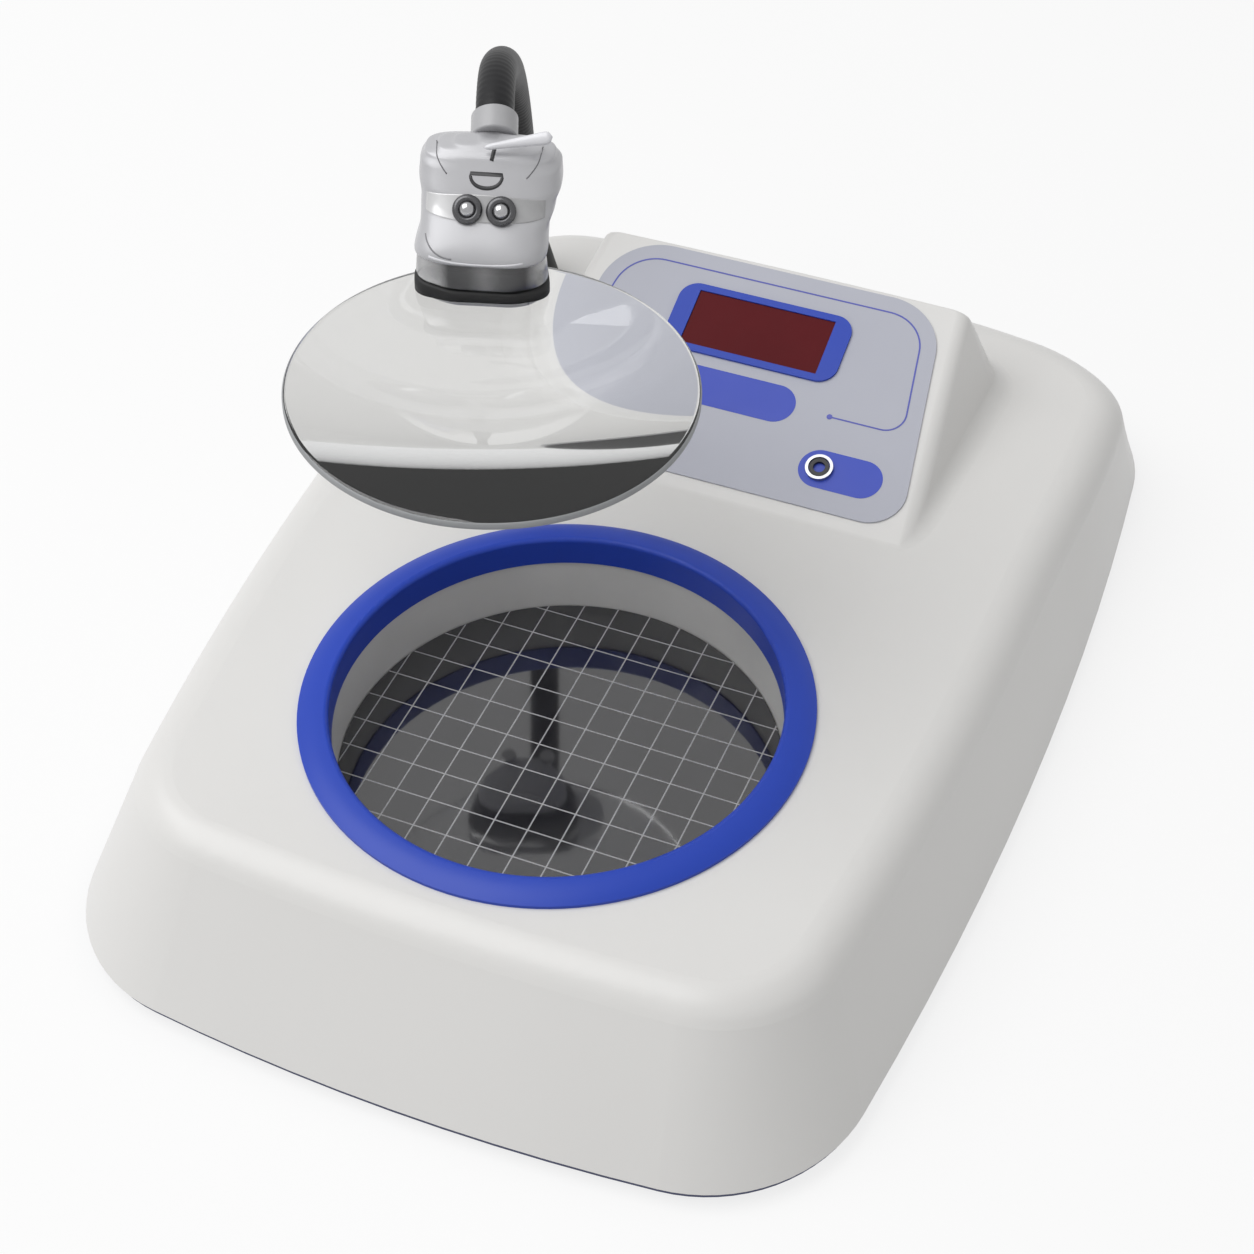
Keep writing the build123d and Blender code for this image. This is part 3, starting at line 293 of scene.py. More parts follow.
# neck and head
neck_sleeve_grey = finish_of("neck_sleeve_grey", NECK_GREY, 0.46, vary=0.12, patch=0.01,
                             grain=0.0004, depth=0.00002, specular=0.25)
head_silver = finish_of("head_silver", SILVER, 0.36, metallic=0.2, vary=0.03, patch=0.012,
                        grain=0.0003, depth=0.000004, coat=0.2, coat_roughness=0.2)
band_chrome = finish_of("band_chrome", srgb(205, 205, 207), 0.16, metallic=1.0, vary=0.03,
                        patch=0.01, grain=0.001, depth=0.000001)
# pale plastic of the lever; also used for the painted highlight along the tongue's lower edge
lever_pale_and_rim_highlight = finish_of("lever_pale_and_rim_highlight", srgb(222, 222, 226), 0.25, vary=0.02, patch=0.006, coat=0.4)
lamp_ring_dark = finish_of("lamp_ring_dark", srgb(92, 92, 94), 0.26, metallic=0.8, vary=0.08,
                           patch=0.002)
lamp_bulb_silver = finish_of("lamp_bulb_silver", srgb(176, 176, 178), 0.16, metallic=0.9, vary=0.1,
                             patch=0.002)
seam_grey = finish_of("seam_grey", srgb(112, 112, 115), 0.6, vary=0.05, patch=0.004)
# mid-grey for the painted shade along the crease round the tongue
crease_painted_shade = finish_of("crease_painted_shade", srgb(136, 136, 139), 0.5, vary=0.05, patch=0.004)
seam_dark = finish_of("seam_dark", srgb(52, 52, 54), 0.5, vary=0.05, patch=0.004)
lens_clear = clear_glass("lens_clear", (0.985, 0.99, 0.99, 1.0), 1.60)
lens_ground = finish_of("lens_ground", srgb(148, 150, 152), 0.5, vary=0.05, patch=0.01)

GRID_SHIFT = (0.0016, 0.0040)       # a crossing of the grid lies this far from the well's centre
GRID_PITCH = 0.010
GRID_LINE = 0.0004
plate_low, plate_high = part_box("grid_plate")
well_centre = ((plate_low + plate_high) / 2).xy
grid_start = (well_centre.x + GRID_SHIFT[0], well_centre.y + GRID_SHIFT[1])
plate_glass = grid_glass("plate_glass", grid_start, GRID_PITCH, GRID_LINE, srgb(156, 156, 158),
                         srgb(40, 40, 43), 0.05)

SLOT_MATERIALS = {
    "housing_white": housing_white, "tray_dark": tray_blue, "steel": steel,
    "rubber_black": rubber, "bezel_blue": bezel_blue, "liner_grey": liner_grey,
    "plate_glass": plate_glass, "bowl_white": bowl_white, "overlay_grey": overlay_film,
    "window_red": window_red, "board_green": board_green, "chip_black": chip_black,
    "lamp_white": lamp_white, "brass": brass, "plastic_black": plastic_black,
    "plastic_grey": plastic_grey, "head_silver": head_silver, "band_chrome": band_chrome,
    "lens_clear": lens_clear, "copper": copper, "button_blue": button_blue,
}


def dress_nodes():
    """Give each CAD node the finish of its slot."""
    for part in frame["record"]["subparts"]:
        node = nodes[part["node"]]
        node.data.materials.clear()
        node.data.materials.append(SLOT_MATERIALS[part["material_slot"]])


# ---------------------------------------------------------------- mesh helpers
ON_AXIS = 1e-9                      # a turned form's radius up to this is one point


def circle(steps):
    """Angles of one full turn."""
    return [2 * pi * k / steps for k in range(steps)]


def shares(steps):
    """Even steps from 0 to 1, both ends included."""
    return [k / steps for k in range(steps + 1)]


def share_of(value, low, high):
    """0 below low, 1 above high and even between them."""
    return min(max((value - low) / (high - low), 0.0), 1.0)


def eased(value, low, high):
    """0 below low, 1 above high and smooth between them."""
    t = share_of(value, low, high)
    return t * t * (3 - 2 * t)


def new_piece(name, points, faces, material, body, slot, smooth=True):
    """Mesh object, which rides on a body if one is named; its slot is not used."""
    mesh = bpy.data.meshes.new(name)
    mesh.from_pydata([tuple(p) for p in points], [], faces)
    mesh.validate()
    edit = bmesh.new()
    edit.from_mesh(mesh)
    bmesh.ops.recalc_face_normals(edit, faces=edit.faces)
    edit.to_mesh(mesh)
    edit.free()
    for face in mesh.polygons:
        face.use_smooth = smooth
    mesh.materials.append(material)
    piece = bpy.data.objects.new(name, mesh)
    bpy.context.scene.collection.objects.link(piece)
    if body:
        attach(piece, body)
    return piece


def tube_faces(rings, around):
    """Walls between rings of points, and a face over each end."""
    faces = []
    for k in range(rings - 1):
        low, high = k * around, (k + 1) * around
        for m in range(around):
            n = (m + 1) % around
            faces.append((low + m, low + n, high + n, high + m))
    faces.append(tuple(range(around))[::-1])
    faces.append(tuple(range((rings - 1) * around, rings * around)))
    return faces


def revolve_points(profile, steps, place):
    """Points and faces of a closed turned form; profile is (radius, height) from axis to axis."""
    points, faces, rings = [], [], []
    for radius, height in profile:
        first = len(points)
        if radius > ON_AXIS:
            points += [place @ Vector((radius * cos(a), radius * sin(a), height))
                       for a in circle(steps)]
        else:
            points.append(place @ Vector((0, 0, height)))
        rings.append(range(first, len(points)))
    for lower, upper in zip(rings, rings[1:]):
        for k in range(steps):
            m = (k + 1) % steps
            if len(lower) == 1:
                faces.append((lower[0], upper[m], upper[k]))
            elif len(upper) == 1:
                faces.append((lower[k], lower[m], upper[0]))
            else:
                faces.append((lower[k], lower[m], upper[m], upper[k]))
    return points, faces


def rounded(corners, steps=10):
    """Closed or open outline from (x, y, radius) corners; a radius of 0 stays sharp."""
    outline = []
    for k, (x, y, radius) in enumerate(corners):
        here = Vector((x, y))
        if radius <= 0:
            outline.append(here)
            continue
        before = Vector(corners[k - 1][:2])
        after = Vector(corners[(k + 1) % len(corners)][:2])
        u = (before - here).normalized()
        v = (after - here).normalized()
        half = u.angle(v) / 2
        centre = here + (u + v).normalized() * radius / sin(half)
        start = here + u * (radius / tan(half)) - centre
        turn = pi - 2 * half
        if u.cross(v) > 0:
            turn = -turn
        for t in shares(steps):
            c, s = cos(turn * t), sin(turn * t)
            outline.append(centre + Vector((start.x * c - start.y * s, start.x * s + start.y * c)))
    return outline


# ---------------------------------------------------------------- camera, lights, stage
CAMERA_AT = Vector((0.19320, -0.45395, 0.51609))
CAMERA_TURN = (44.72, 1.044, 22.656)
CAMERA_LENS = 67.04
WORLD_DIFFUSE = 0.47                # strength of the world's light; what is seen of it is white
FLOOR_HALF = 3.0
FLOOR_GLOW = 0.8                    # share of the floor that is white by itself
FLOOR_SHADE = (0.86, 0.86, 0.86, 1)
KEY_AT = Vector((-0.62, -0.30, 1.32))
KEY_TARGET = Vector((0, 0, 0.05))
KEY_SIZE = 1.3
KEY_POWER = 15.0


def make_camera():
    data = bpy.data.cameras.new("camera")
    data.lens = CAMERA_LENS
    data.sensor_width = 36.0
    data.clip_start = 0.01
    camera = bpy.data.objects.new("camera", data)
    camera.location = CAMERA_AT
    camera.rotation_euler = [radians(a) for a in CAMERA_TURN]
    bpy.context.scene.collection.objects.link(camera)
    bpy.context.scene.camera = camera


def make_key_light():
    data = bpy.data.lights.new("key", "AREA")
    data.shape = "RECTANGLE"
    data.size = data.size_y = KEY_SIZE
    data.energy = KEY_POWER
    lamp = bpy.data.objects.new("key", data)
    lamp.location = KEY_AT
    lamp.rotation_euler = (KEY_TARGET - KEY_AT).to_track_quat("-Z", "Y").to_euler()
    bpy.context.scene.collection.objects.link(lamp)


def seen_directly(tree):
    """1 for camera, glossy and transmission rays."""
    path = tree.nodes.new("ShaderNodeLightPath")
    total = path.outputs["Is Camera Ray"]
    for ray in ("Is Glossy Ray", "Is Transmission Ray"):
        either = tree.nodes.new("ShaderNodeMath")
        either.operation = "MAXIMUM"
        tree.links.new(total, either.inputs[0])
        tree.links.new(path.outputs[ray], either.inputs[1])
        total = either.outputs[0]
    return total


def blend_shaders(tree, share, first, second, surface):
    """Mix two shaders, from the first at 0 to the second at 1, into a surface socket."""
    mix = tree.nodes.new("ShaderNodeMixShader")
    for socket, source in zip(mix.inputs, (share, first.outputs[0], second.outputs[0])):
        tree.links.new(source, socket)
    tree.links.new(mix.outputs[0], surface)


def make_world():
    """White where it is looked at, softer as a light."""
    world = bpy.data.worlds.new("studio")
    bpy.context.scene.world = world
    world.use_nodes = True
    tree = world.node_tree
    soft = tree.nodes["Background"]
    put(soft, {"Color": (1, 1, 1, 1), "Strength": WORLD_DIFFUSE})
    white = tree.nodes.new("ShaderNodeBackground")
    put(white, {"Strength": 1.0})
    blend_shaders(tree, seen_directly(tree), soft, white,
                  tree.nodes["World Output"].inputs["Surface"])


def make_floor():
    """Pale floor: mostly white by itself, with a soft share that takes the shadow."""
    mesh = bpy.data.meshes.new("floor")
    signs = ((-1, -1), (1, -1), (1, 1), (-1, 1))
    mesh.from_pydata([(x * FLOOR_HALF, y * FLOOR_HALF, 0) for x, y in signs], [], [(0, 1, 2, 3)])
    floor = bpy.data.objects.new("floor", mesh)
    bpy.context.scene.collection.objects.link(floor)
    material = bpy.data.materials.new("floor_white")
    material.use_nodes = True
    tree = material.node_tree
    shader = tree.nodes["Principled BSDF"]
    put(shader, {"Base Color": FLOOR_SHADE, "Roughness": 0.9, "Specular IOR Level": 0.0})
    lit = tree.nodes.new("ShaderNodeEmission")
    put(lit, {"Strength": 1.0})
    glow = tree.nodes.new("ShaderNodeMath")
    glow.operation = "MULTIPLY"
    glow.inputs[1].default_value = FLOOR_GLOW
    tree.links.new(seen_directly(tree), glow.inputs[0])
    blend_shaders(tree, glow.outputs[0], shader, lit,
                  tree.nodes["Material Output"].inputs["Surface"])
    mesh.materials.append(material)


# ---------------------------------------------------------------- housing
RAMP_FOOT = (0.030, 0.0475)         # y and z of the console's foot, at its front
RAMP_SLOPE = radians(20.0)
RAMP_LENGTH = 0.0901
CONSOLE_SHORTER = 0.0056            # the photo's console ends this much nearer to its overlay
CONSOLE_FROM = 0.0003               # the shift starts this far behind the overlay
CONSOLE_TO = 0.0007                 # and is whole this far before the ramp's end
DECK_TOP = 0.0490                   # nothing under this moves with the console
REAR_IN = 0.0030                    # the rear edge on the right stands further forward
REAR_X, REAR_Y = (0.055, 0.095), (0.112, 0.140)         # where that move grows from 0 to whole
CORNER_OUT = 0.0058                 # the right rear corner is fuller
CORNER_X, CORNER_Y = (0.060, 0.106), (0.025, 0.120)     # and where this one does
WALL_FOOT, WALL_TOP = 0.0054, 0.0414    # heights where the corner starts to move and moves whole


def make_housing():
    """The moulded housing, with a shorter console and a fuller rear corner than the solid has."""
    mesh = nodes["top_housing"].data.copy()
    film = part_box("panel_overlay")[1]

    def along_ramp(y, z):
        return (y - RAMP_FOOT[0]) * cos(RAMP_SLOPE) + (z - RAMP_FOOT[1]) * sin(RAMP_SLOPE)

    film_end = along_ramp(film.y, film.z)
    top = RAMP_FOOT[1] + RAMP_LENGTH * sin(RAMP_SLOPE)
    for vertex in mesh.vertices:
        p = vertex.co
        shift = CONSOLE_SHORTER * share_of(along_ramp(p.y, p.z), film_end + CONSOLE_FROM,
                                           RAMP_LENGTH - CONSOLE_TO)
        shift *= share_of(p.z, DECK_TOP, top)
        corner = eased(p.x, *CORNER_X) * eased(p.y, *CORNER_Y)
        rear = eased(p.x, *REAR_X) * eased(p.y, *REAR_Y)
        height = share_of(p.z, WALL_FOOT, WALL_TOP)
        vertex.co = Vector((p.x + CORNER_OUT * corner * height,
                            p.y - shift * cos(RAMP_SLOPE) - REAR_IN * rear * height,
                            p.z - shift * sin(RAMP_SLOPE)))
    shell = bpy.data.objects.new("housing_shell", mesh)
    bpy.context.scene.collection.objects.link(shell)
    mesh.materials.clear()
    mesh.materials.append(housing_white)
    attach(shell, "counter")
    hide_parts("top_housing")


# ---------------------------------------------------------------- neck sleeve
HOOK_FROM = radians(66.0)           # the neck bends gently up to here, then tighter to the head
HOOK_RADIUS = 0.0345
NECK_RADIUS = 0.0052
RIB_PITCH = 0.0021
RIB_DEPTH = 0.000025


def make_neck_sleeve():
    """Ribbed gooseneck in one run from its foot to its collar."""
    foot = Vector(joints["neck_swivel"]["pos_m"])
    foot.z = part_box("neck_lower")[0].z
    tip = Vector(joints["head_turn"]["pos_m"])
    heading = Vector(joints["head_turn"]["axis"])
    flat = Vector((heading.x, heading.y, 0)).normalized()
    side = flat.cross(UP).normalized()
    total_turn = pi / 2 + atan2(-heading.z, heading.xy.length)
    reach = (tip.xy - foot.xy).length
    wide_radius = (reach - HOOK_RADIUS * (cos(HOOK_FROM) - cos(total_turn))) / (1 - cos(HOOK_FROM))
    straight = (tip.z - wide_radius * sin(HOOK_FROM)
                - HOOK_RADIUS * (sin(total_turn) - sin(HOOK_FROM)) - foot.z)
    wide_length = wide_radius * HOOK_FROM
    length = straight + wide_length + HOOK_RADIUS * (total_turn - HOOK_FROM)
    steps = int(length / RIB_PITCH * 8)
    around = 40
    points = []
    for t in shares(steps):
        s = length * t
        run = max(s - straight, 0.0)
        a = min(run / wide_radius, HOOK_FROM) + max(run - wide_length, 0.0) / HOOK_RADIUS
        wide, tight = min(a, HOOK_FROM), max(a, HOOK_FROM)
        ahead = wide_radius * (1 - cos(wide)) + HOOK_RADIUS * (cos(HOOK_FROM) - cos(tight))
        rise = wide_radius * sin(wide) + HOOK_RADIUS * (sin(tight) - sin(HOOK_FROM))
        centre = foot + UP * (min(s, straight) + rise) + flat * ahead
        out = flat * cos(a) - UP * sin(a)
        for b in circle(around):
            r = NECK_RADIUS - RIB_DEPTH * (1 - cos(2 * pi * s / RIB_PITCH - b))
            points.append(centre + out * r * cos(b) + side * r * sin(b))
    sleeve = new_piece("neck_sleeve", points, tube_faces(steps + 1, around), neck_sleeve_grey,
                       None, "rubber_black")
    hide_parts("neck_lower", "neck_flex", "neck_upper")
    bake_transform(sleeve)


# ---------------------------------------------------------------- magnifier: frame and lens
HEAD_TURN = (-71.4, -2.5, -1.2)     # yaw, roll and pitch of the head about the neck's end
LENS_AT = (0.0657, 0.0063, -0.0388)
LENS_RADIUS = 0.054
LENS_EDGE = 0.001                   # half of the rim's thickness
LENS_DOME = 0.0052                  # how far each face stands over the rim
LENS_SPHERE = (LENS_RADIUS ** 2 + LENS_DOME ** 2) / (2 * LENS_DOME)
LENS_BEVEL = 0.0004
PAD_CLEAR = 0.00006                 # between the lens and its pads


def head_matrix():
    """x forward, y to the right, z up, from the neck's end."""
    yaw, roll, pitch = [radians(a) for a in HEAD_TURN]
    turn = Matrix.Rotation(yaw, 4, "Z") @ Matrix.Rotation(roll, 4, "X")
    place = Matrix.Translation(joints["head_turn"]["pos_m"])
    return place @ turn @ Matrix.Rotation(pitch, 4, "Y")


head = head_matrix()
lateral = (head.to_3x3() @ Vector((0, 1, 0))).normalized()

# painted reflection on the clamp's band: lighter at both ends, dark across the middle with a lighter streak at its
# centre, over a real metallic gloss
band_painted_reflection = across("band_painted_reflection", lateral, head.translation, 0.019,
                     [(0.0, grey(150)), (0.08, grey(182)), (0.2, grey(150)), (0.27, grey(84)),
                      (0.4, grey(92)), (0.52, grey(128)), (0.64, grey(96)), (0.8, grey(78)),
                      (0.88, grey(150)), (1.0, grey(190))], 0.2, 0.85)
# painted light on the lamp band: a painted highlight near its left end, then painted shade that darkens towards
# the right; the coat gives its real gloss
band_gloss_painted_shade = across("band_gloss_painted_shade", lateral, head.translation, 0.016,
                    [(0.0, grey(196)), (0.12, grey(232)), (0.3, grey(214)), (0.45, grey(190)),
                     (0.65, grey(178)), (1.0, grey(168))], 0.16, 0.1, coat=0.5)


def lens_rise(out):
    """Height of the lens's face over its middle plane, at a distance from its axis."""
    return LENS_EDGE + LENS_DOME - (LENS_SPHERE - sqrt(LENS_SPHERE ** 2 - out ** 2))


def make_lens():
    """Polished biconvex lens with a ground edge, as dense as its refraction needs."""
    lower = [(r, -lens_rise(r)) for r in [(LENS_RADIUS - LENS_BEVEL) * t for t in shares(60)]]
    edge = [(LENS_RADIUS, -LENS_EDGE + LENS_BEVEL), (LENS_RADIUS, LENS_EDGE - LENS_BEVEL)]
    profile = lower + edge + [(r, -z) for r, z in reversed(lower)]
    points, faces = revolve_points(profile, 192, head @ Matrix.Translation(LENS_AT))
    lens = new_piece("magnifier_lens", points, faces, lens_clear, "magnifier", "lens_clear")
    lens.data.materials.append(lens_ground)
    centre = head @ Vector(LENS_AT)
    for face in lens.data.polygons:
        if (face.center - centre).length > LENS_RADIUS - LENS_BEVEL * 0.8:
            face.material_index = 1
    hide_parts("lens")


# ---------------------------------------------------------------- magnifier: clamp
BAND_TOP = -0.0230
PAD_TOP = BAND_TOP - 0.0084
JAW_TOP = LENS_AT[2] - 0.006
CAP_SHARES = (0.02, 0.25, 0.5, 0.75, 0.95, 1.0)     # rings of a curved cap, from its middle out


def pad_face(side):
    """Height of the pad's face over or under the lens, as a function of x and y."""
    def height(x, y):
        out = sqrt((x - LENS_AT[0]) ** 2 + (y - LENS_AT[1]) ** 2)
        rise = lens_rise(out) if out < LENS_RADIUS else 0.0
        return LENS_AT[2] + side * (rise + PAD_CLEAR)
    return height


def clamp_plan(grow=0.0, front_in=0.0):
    """Plan of the clamp: bowed front, sides that draw in to the back."""
    half = 0.0189 + grow
    front = 0.0368 + grow - front_in
    back = 0.0045 - grow
    return rounded([(back, -0.0080 - grow, 0.004), (0.0150, -0.0168 - grow, 0.008),
                    (front - 0.0055, -half - 0.0011, 0.0068), (front - 0.0008, -0.0085, 0.012),
                    (front - 0.0008, 0.0085, 0.012), (front - 0.0055, half - 0.0006, 0.0068),
                    (0.0150, 0.0152 + grow, 0.008), (back, 0.0080 + grow, 0.004)])


def stacked(name, plan, levels, material, slot, bottom=None, top=None):
    """Form from a plan and (inset, height) levels; a cap may follow a height function."""
    middle = sum(plan, Vector((0, 0))) / len(plan)

    def cap(height, steps):
        rings = []
        for share in steps:
            spots = [middle + (p - middle) * share for p in plan]
            rings.append([Vector((q.x, q.y, height(q.x, q.y))) for q in spots])
        return rings

    rings = cap(bottom, CAP_SHARES) if bottom else []
    for inset, height in levels:
        spots = [p - (p - middle).normalized() * inset for p in plan]
        rings.append([Vector((q.x, q.y, height)) for q in spots])
    if top:
        rings += cap(top, CAP_SHARES[::-1])
    points = [head @ p for ring in rings for p in ring]
    return new_piece(name, points, tube_faces(len(rings), len(plan)), material, "magnifier", slot)


def make_clamp():
    """Bright band over a black pad on the lens, and the pad and jaw under it."""
    # the band's light ends and dark middle are a painted reflection
    band = stacked("clamp_band", clamp_plan(-0.0005),
                   [(0.001, PAD_TOP), (0.0002, PAD_TOP + 0.0002), (0.0, PAD_TOP + 0.0010),
                    (0.0003, PAD_TOP + 0.0050), (0.0009, BAND_TOP - 0.0006),
                    (0.0012, BAND_TOP - 0.0001), (0.0016, BAND_TOP)], band_painted_reflection, "band_chrome")
    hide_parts("head_band")
    pad = stacked("clamp_pad_top", clamp_plan(),
                  [(0.0, PAD_TOP - 0.0022), (0.0001, PAD_TOP - 0.0004), (0.0005, PAD_TOP)],
                  rubber, "rubber_black", bottom=pad_face(1))
    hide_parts("clamp_pad_upper")
    small = clamp_plan(-0.0030, 0.003)
    pad = stacked("clamp_pad_foot", small, [(0.0005, JAW_TOP), (0.0, JAW_TOP + 0.0004)],
                  rubber, "rubber_black", top=pad_face(-1))
    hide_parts("clamp_pad_lower")
    jaw = stacked("clamp_plate", small,
                  [(0.0018, JAW_TOP - 0.0030), (0.0006, JAW_TOP - 0.0026),
                   (0.0, JAW_TOP - 0.0018), (0.0, JAW_TOP)], head_silver, "head_silver")
    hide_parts("clamp_jaw")


# ---------------------------------------------------------------- magnifier: shell of the head
FACE_FOOT = 0.0357
FACE_SLOPE = radians(50.0)
FACE_OUT = (0.77, 0.64)             # the face's outward direction, forward and up
SIDE_POWER, DEPTH_POWER = 3.4, 3.0  # the plan is a squarish oval with these powers
TONGUE_TOP, TONGUE_BULGE = 0.0088, 0.0017
LAMP_BAND_TOP, LAMP_BAND_HOLLOW = 0.0142, 0.0003
CROWN_HEIGHT, CROWN_FALL = 0.0026, 0.0022
HEAD_HEIGHT = 0.0239
# (height over the band, distance) to the right side, the left side and the back
HEAD_RIGHTS = [(0.0, 0.0167), (0.0050, 0.0166), (0.0100, 0.0181), (0.0140, 0.0194),
               (0.0180, 0.0191), (0.0207, 0.0174), (0.0222, 0.0140), (0.0232, 0.0095),
               (0.0239, 0.003)]
HEAD_LEFTS = [(0.0, 0.0187), (0.0055, 0.0175), (0.0105, 0.0177), (0.0155, 0.0186),
              (0.0185, 0.0184), (0.0207, 0.0172), (0.0222, 0.0138), (0.0232, 0.0095),
              (0.0239, 0.003)]
HEAD_BACKS = [(0.0, 0.0140), (0.008, 0.0052), (0.0159, 0.0015), (0.020, 0.0030),
              (0.0239, 0.0080)]


def between(value, table):
    """Smooth value from a table of (position, value) rows."""
    for (p0, v0), (p1, v1) in zip(table, table[1:]):
        if value <= p1:
            return v0 + (v1 - v0) * eased(value, p0, p1)
    return table[-1][1]


def face_front(h):
    """How far forward the middle of the face stands, h over the band."""
    x = FACE_FOOT - h / tan(FACE_SLOPE)
    if h < TONGUE_TOP:
        x += TONGUE_BULGE * sin(pi * (h / TONGUE_TOP) ** 0.7)
    elif h < LAMP_BAND_TOP:
        x -= LAMP_BAND_HOLLOW * sin(pi * (h - TONGUE_TOP) / (LAMP_BAND_TOP - TONGUE_TOP))
    crown = max(h - (HEAD_HEIGHT - CROWN_HEIGHT), 0.0) / CROWN_HEIGHT
    return x - CROWN_FALL * crown ** 2


def depth_of(h):
    """Middle and half of the head's depth, h over the band."""
    front, back = face_front(h), between(h, HEAD_BACKS)
    return (front + back) / 2, (front - back) / 2


def head_point(side, h, lift=0.0):
    """Point on the front of the head: side and height over the band."""
    half = between(h, HEAD_RIGHTS if side > 0 else HEAD_LEFTS)
    middle, reach = depth_of(h)
    share = min(abs(side) / half, 0.9999)
    x = middle + reach * (1 - share ** SIDE_POWER) ** (1 / DEPTH_POWER)
    return head @ Vector((x + lift * FACE_OUT[0], side, BAND_TOP + h + lift * FACE_OUT[1]))


def make_head_shell():
    """Silver shell: a convex tongue, a band at the lamps, and a wider hood over them."""
    rows, around = 110, 168
    points = []
    for t in shares(rows):
        h = HEAD_HEIGHT * (1 - (1 - t) ** 1.35)
        left, right = between(h, HEAD_LEFTS), between(h, HEAD_RIGHTS)
        middle, reach = depth_of(h)
        for a in circle(around):
            c, d = cos(a), sin(a)
            x = middle + reach * abs(c) ** (2 / DEPTH_POWER) * (1 if c > 0 else -1)
            y = abs(d) ** (2 / SIDE_POWER) * (right if d > 0 else -left)
            points.append(head @ Vector((x, y, BAND_TOP + h)))
    shell = new_piece("head_cover", points, tube_faces(rows + 1, around), head_silver,
                      "magnifier", "head_silver")
    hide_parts("head_shell", "switch_panel")


# ---------------------------------------------------------------- magnifier: lever and lamps
LEVER_LENGTH = 0.0172
LEVER_BACK = 0.0010                 # how far the lever reaches behind its pin
LEVER_SWEEP = radians(12.0)
LEVER_ASIDE, LEVER_UP = 0.0026, 0.0004
LEVER_THIN, LEVER_WIDENS = 0.0007, 0.0010
LAMP_ASIDE = 0.00445                # each lamp's distance from the middle
LAMP_RUN = 0.0147                   # how far up the sloping face the lamps sit
LAMP_RING = [(0.0, -0.0006), (0.0039, -0.0006), (0.0040, 0.0003), (0.0039, 0.0008),
             (0.0036, 0.0012), (0.0031, 0.0015), (0.0026, 0.0015), (0.0022, 0.0012),
             (0.0021, 0.0008), (0.0, 0.0007)]
LAMP_BULB = [(0.0, 0.0006)] + [(0.0021 * cos(pi / 2 * t), 0.0008 + 0.0017 * sin(pi / 2 * t))
                               for t in shares(12)]


def make_lever():
    """Slim switch lever that widens to its round end."""
    up = Vector(joints["lever_swing"]["axis"])
    along = (Matrix.Rotation(LEVER_SWEEP, 3, up) @ lateral).normalized()
    side = up.cross(along).normalized()
    place = Matrix((along, side, up)).transposed().to_4x4()
    pin = Vector(joints["lever_swing"]["pos_m"])
    place.translation = pin + side * LEVER_ASIDE + up * LEVER_UP
    steps, around = 24, 16
    points = []
    for t in shares(steps):
        x = -LEVER_BACK + (LEVER_LENGTH + LEVER_BACK) * t
        half = LEVER_THIN + LEVER_WIDENS * min(t * 1.15, 1.0)
        tail = max(x - (LEVER_LENGTH - half), 0.0)
        half = sqrt(max(half ** 2 - tail ** 2, 0.0))
        nose = max(0.0003 - x, 0.0) / 0.0013
        half = max(half * (1 - nose ** 2), 0.0001)
        lift = 0.0012 + 0.0006 * t
        points += [place @ Vector((x, half * cos(a), lift + min(half, 0.0009) * sin(a)))
                   for a in circle(around)]
    lever = new_piece("switch_lever", points, tube_faces(steps + 1, around), lever_pale_and_rim_highlight, "lever",
                      "plastic_grey")
    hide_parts("lamp_lever")


def make_lamps():
    """Two domed lamps in dark rings, square to the sloping face."""
    out = Vector((sin(FACE_SLOPE), 0, cos(FACE_SLOPE)))
    rise = Vector((-cos(FACE_SLOPE), 0, sin(FACE_SLOPE)))
    place = Matrix((rise, out.cross(rise), out)).transposed().to_4x4()
    for side, name in ((-1, "left"), (1, "right")):
        foot = Vector((FACE_FOOT, side * LAMP_ASIDE, BAND_TOP + 0.0002))
        place.translation = foot + rise * LAMP_RUN
        for part, outline, finish, slot in (("ring", LAMP_RING, lamp_ring_dark, "band_chrome"),
                                            ("bulb", LAMP_BULB, lamp_bulb_silver, "lamp_white")):
            points, faces = revolve_points(outline, 64, head @ place)
            piece = new_piece("lamp_" + part + "_" + name, points, faces, finish, "magnifier", slot)
            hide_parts("lamp_bezels" if part == "ring" else "lamp_bulbs")


# ---------------------------------------------------------------- magnifier: details of the face
SKIN_THICK = 0.00012
LINE_THICK = 0.0001


def face_patch(name, half, edges, lift, material, slot):
    """Thin skin on the front of the head; its two edges are heights across it, from 0 to 1."""
    rows, columns = 20, 48
    points, faces = [], []
    for layer in (lift, lift - SKIN_THICK):
        for k in range(rows + 1):
            for u in shares(columns):
                low, high = [edge(u) for edge in edges]
                points.append(head_point(half * (2 * u - 1), low + (high - low) * k / rows, layer))
    wide = columns + 1
    under = (rows + 1) * wide
    for k in range(rows):
        for m in range(columns):
            a = k * wide + m
            faces.append((a, a + 1, a + wide + 1, a + wide))
            faces.append((a + under, a + wide + under, a + wide + 1 + under, a + 1 + under))
    for m in range(columns):
        a, b = m, rows * wide + m
        faces.append((a, a + under, a + 1 + under, a + 1))
        faces.append((b, b + 1, b + 1 + under, b + under))
    for k in range(rows):
        a, b = k * wide, k * wide + columns
        faces.append((a, a + wide, a + wide + under, a + under))
        faces.append((b, b + under, b + wide + under, b + wide))
    new_piece(name, points, faces, material, "magnifier", slot)


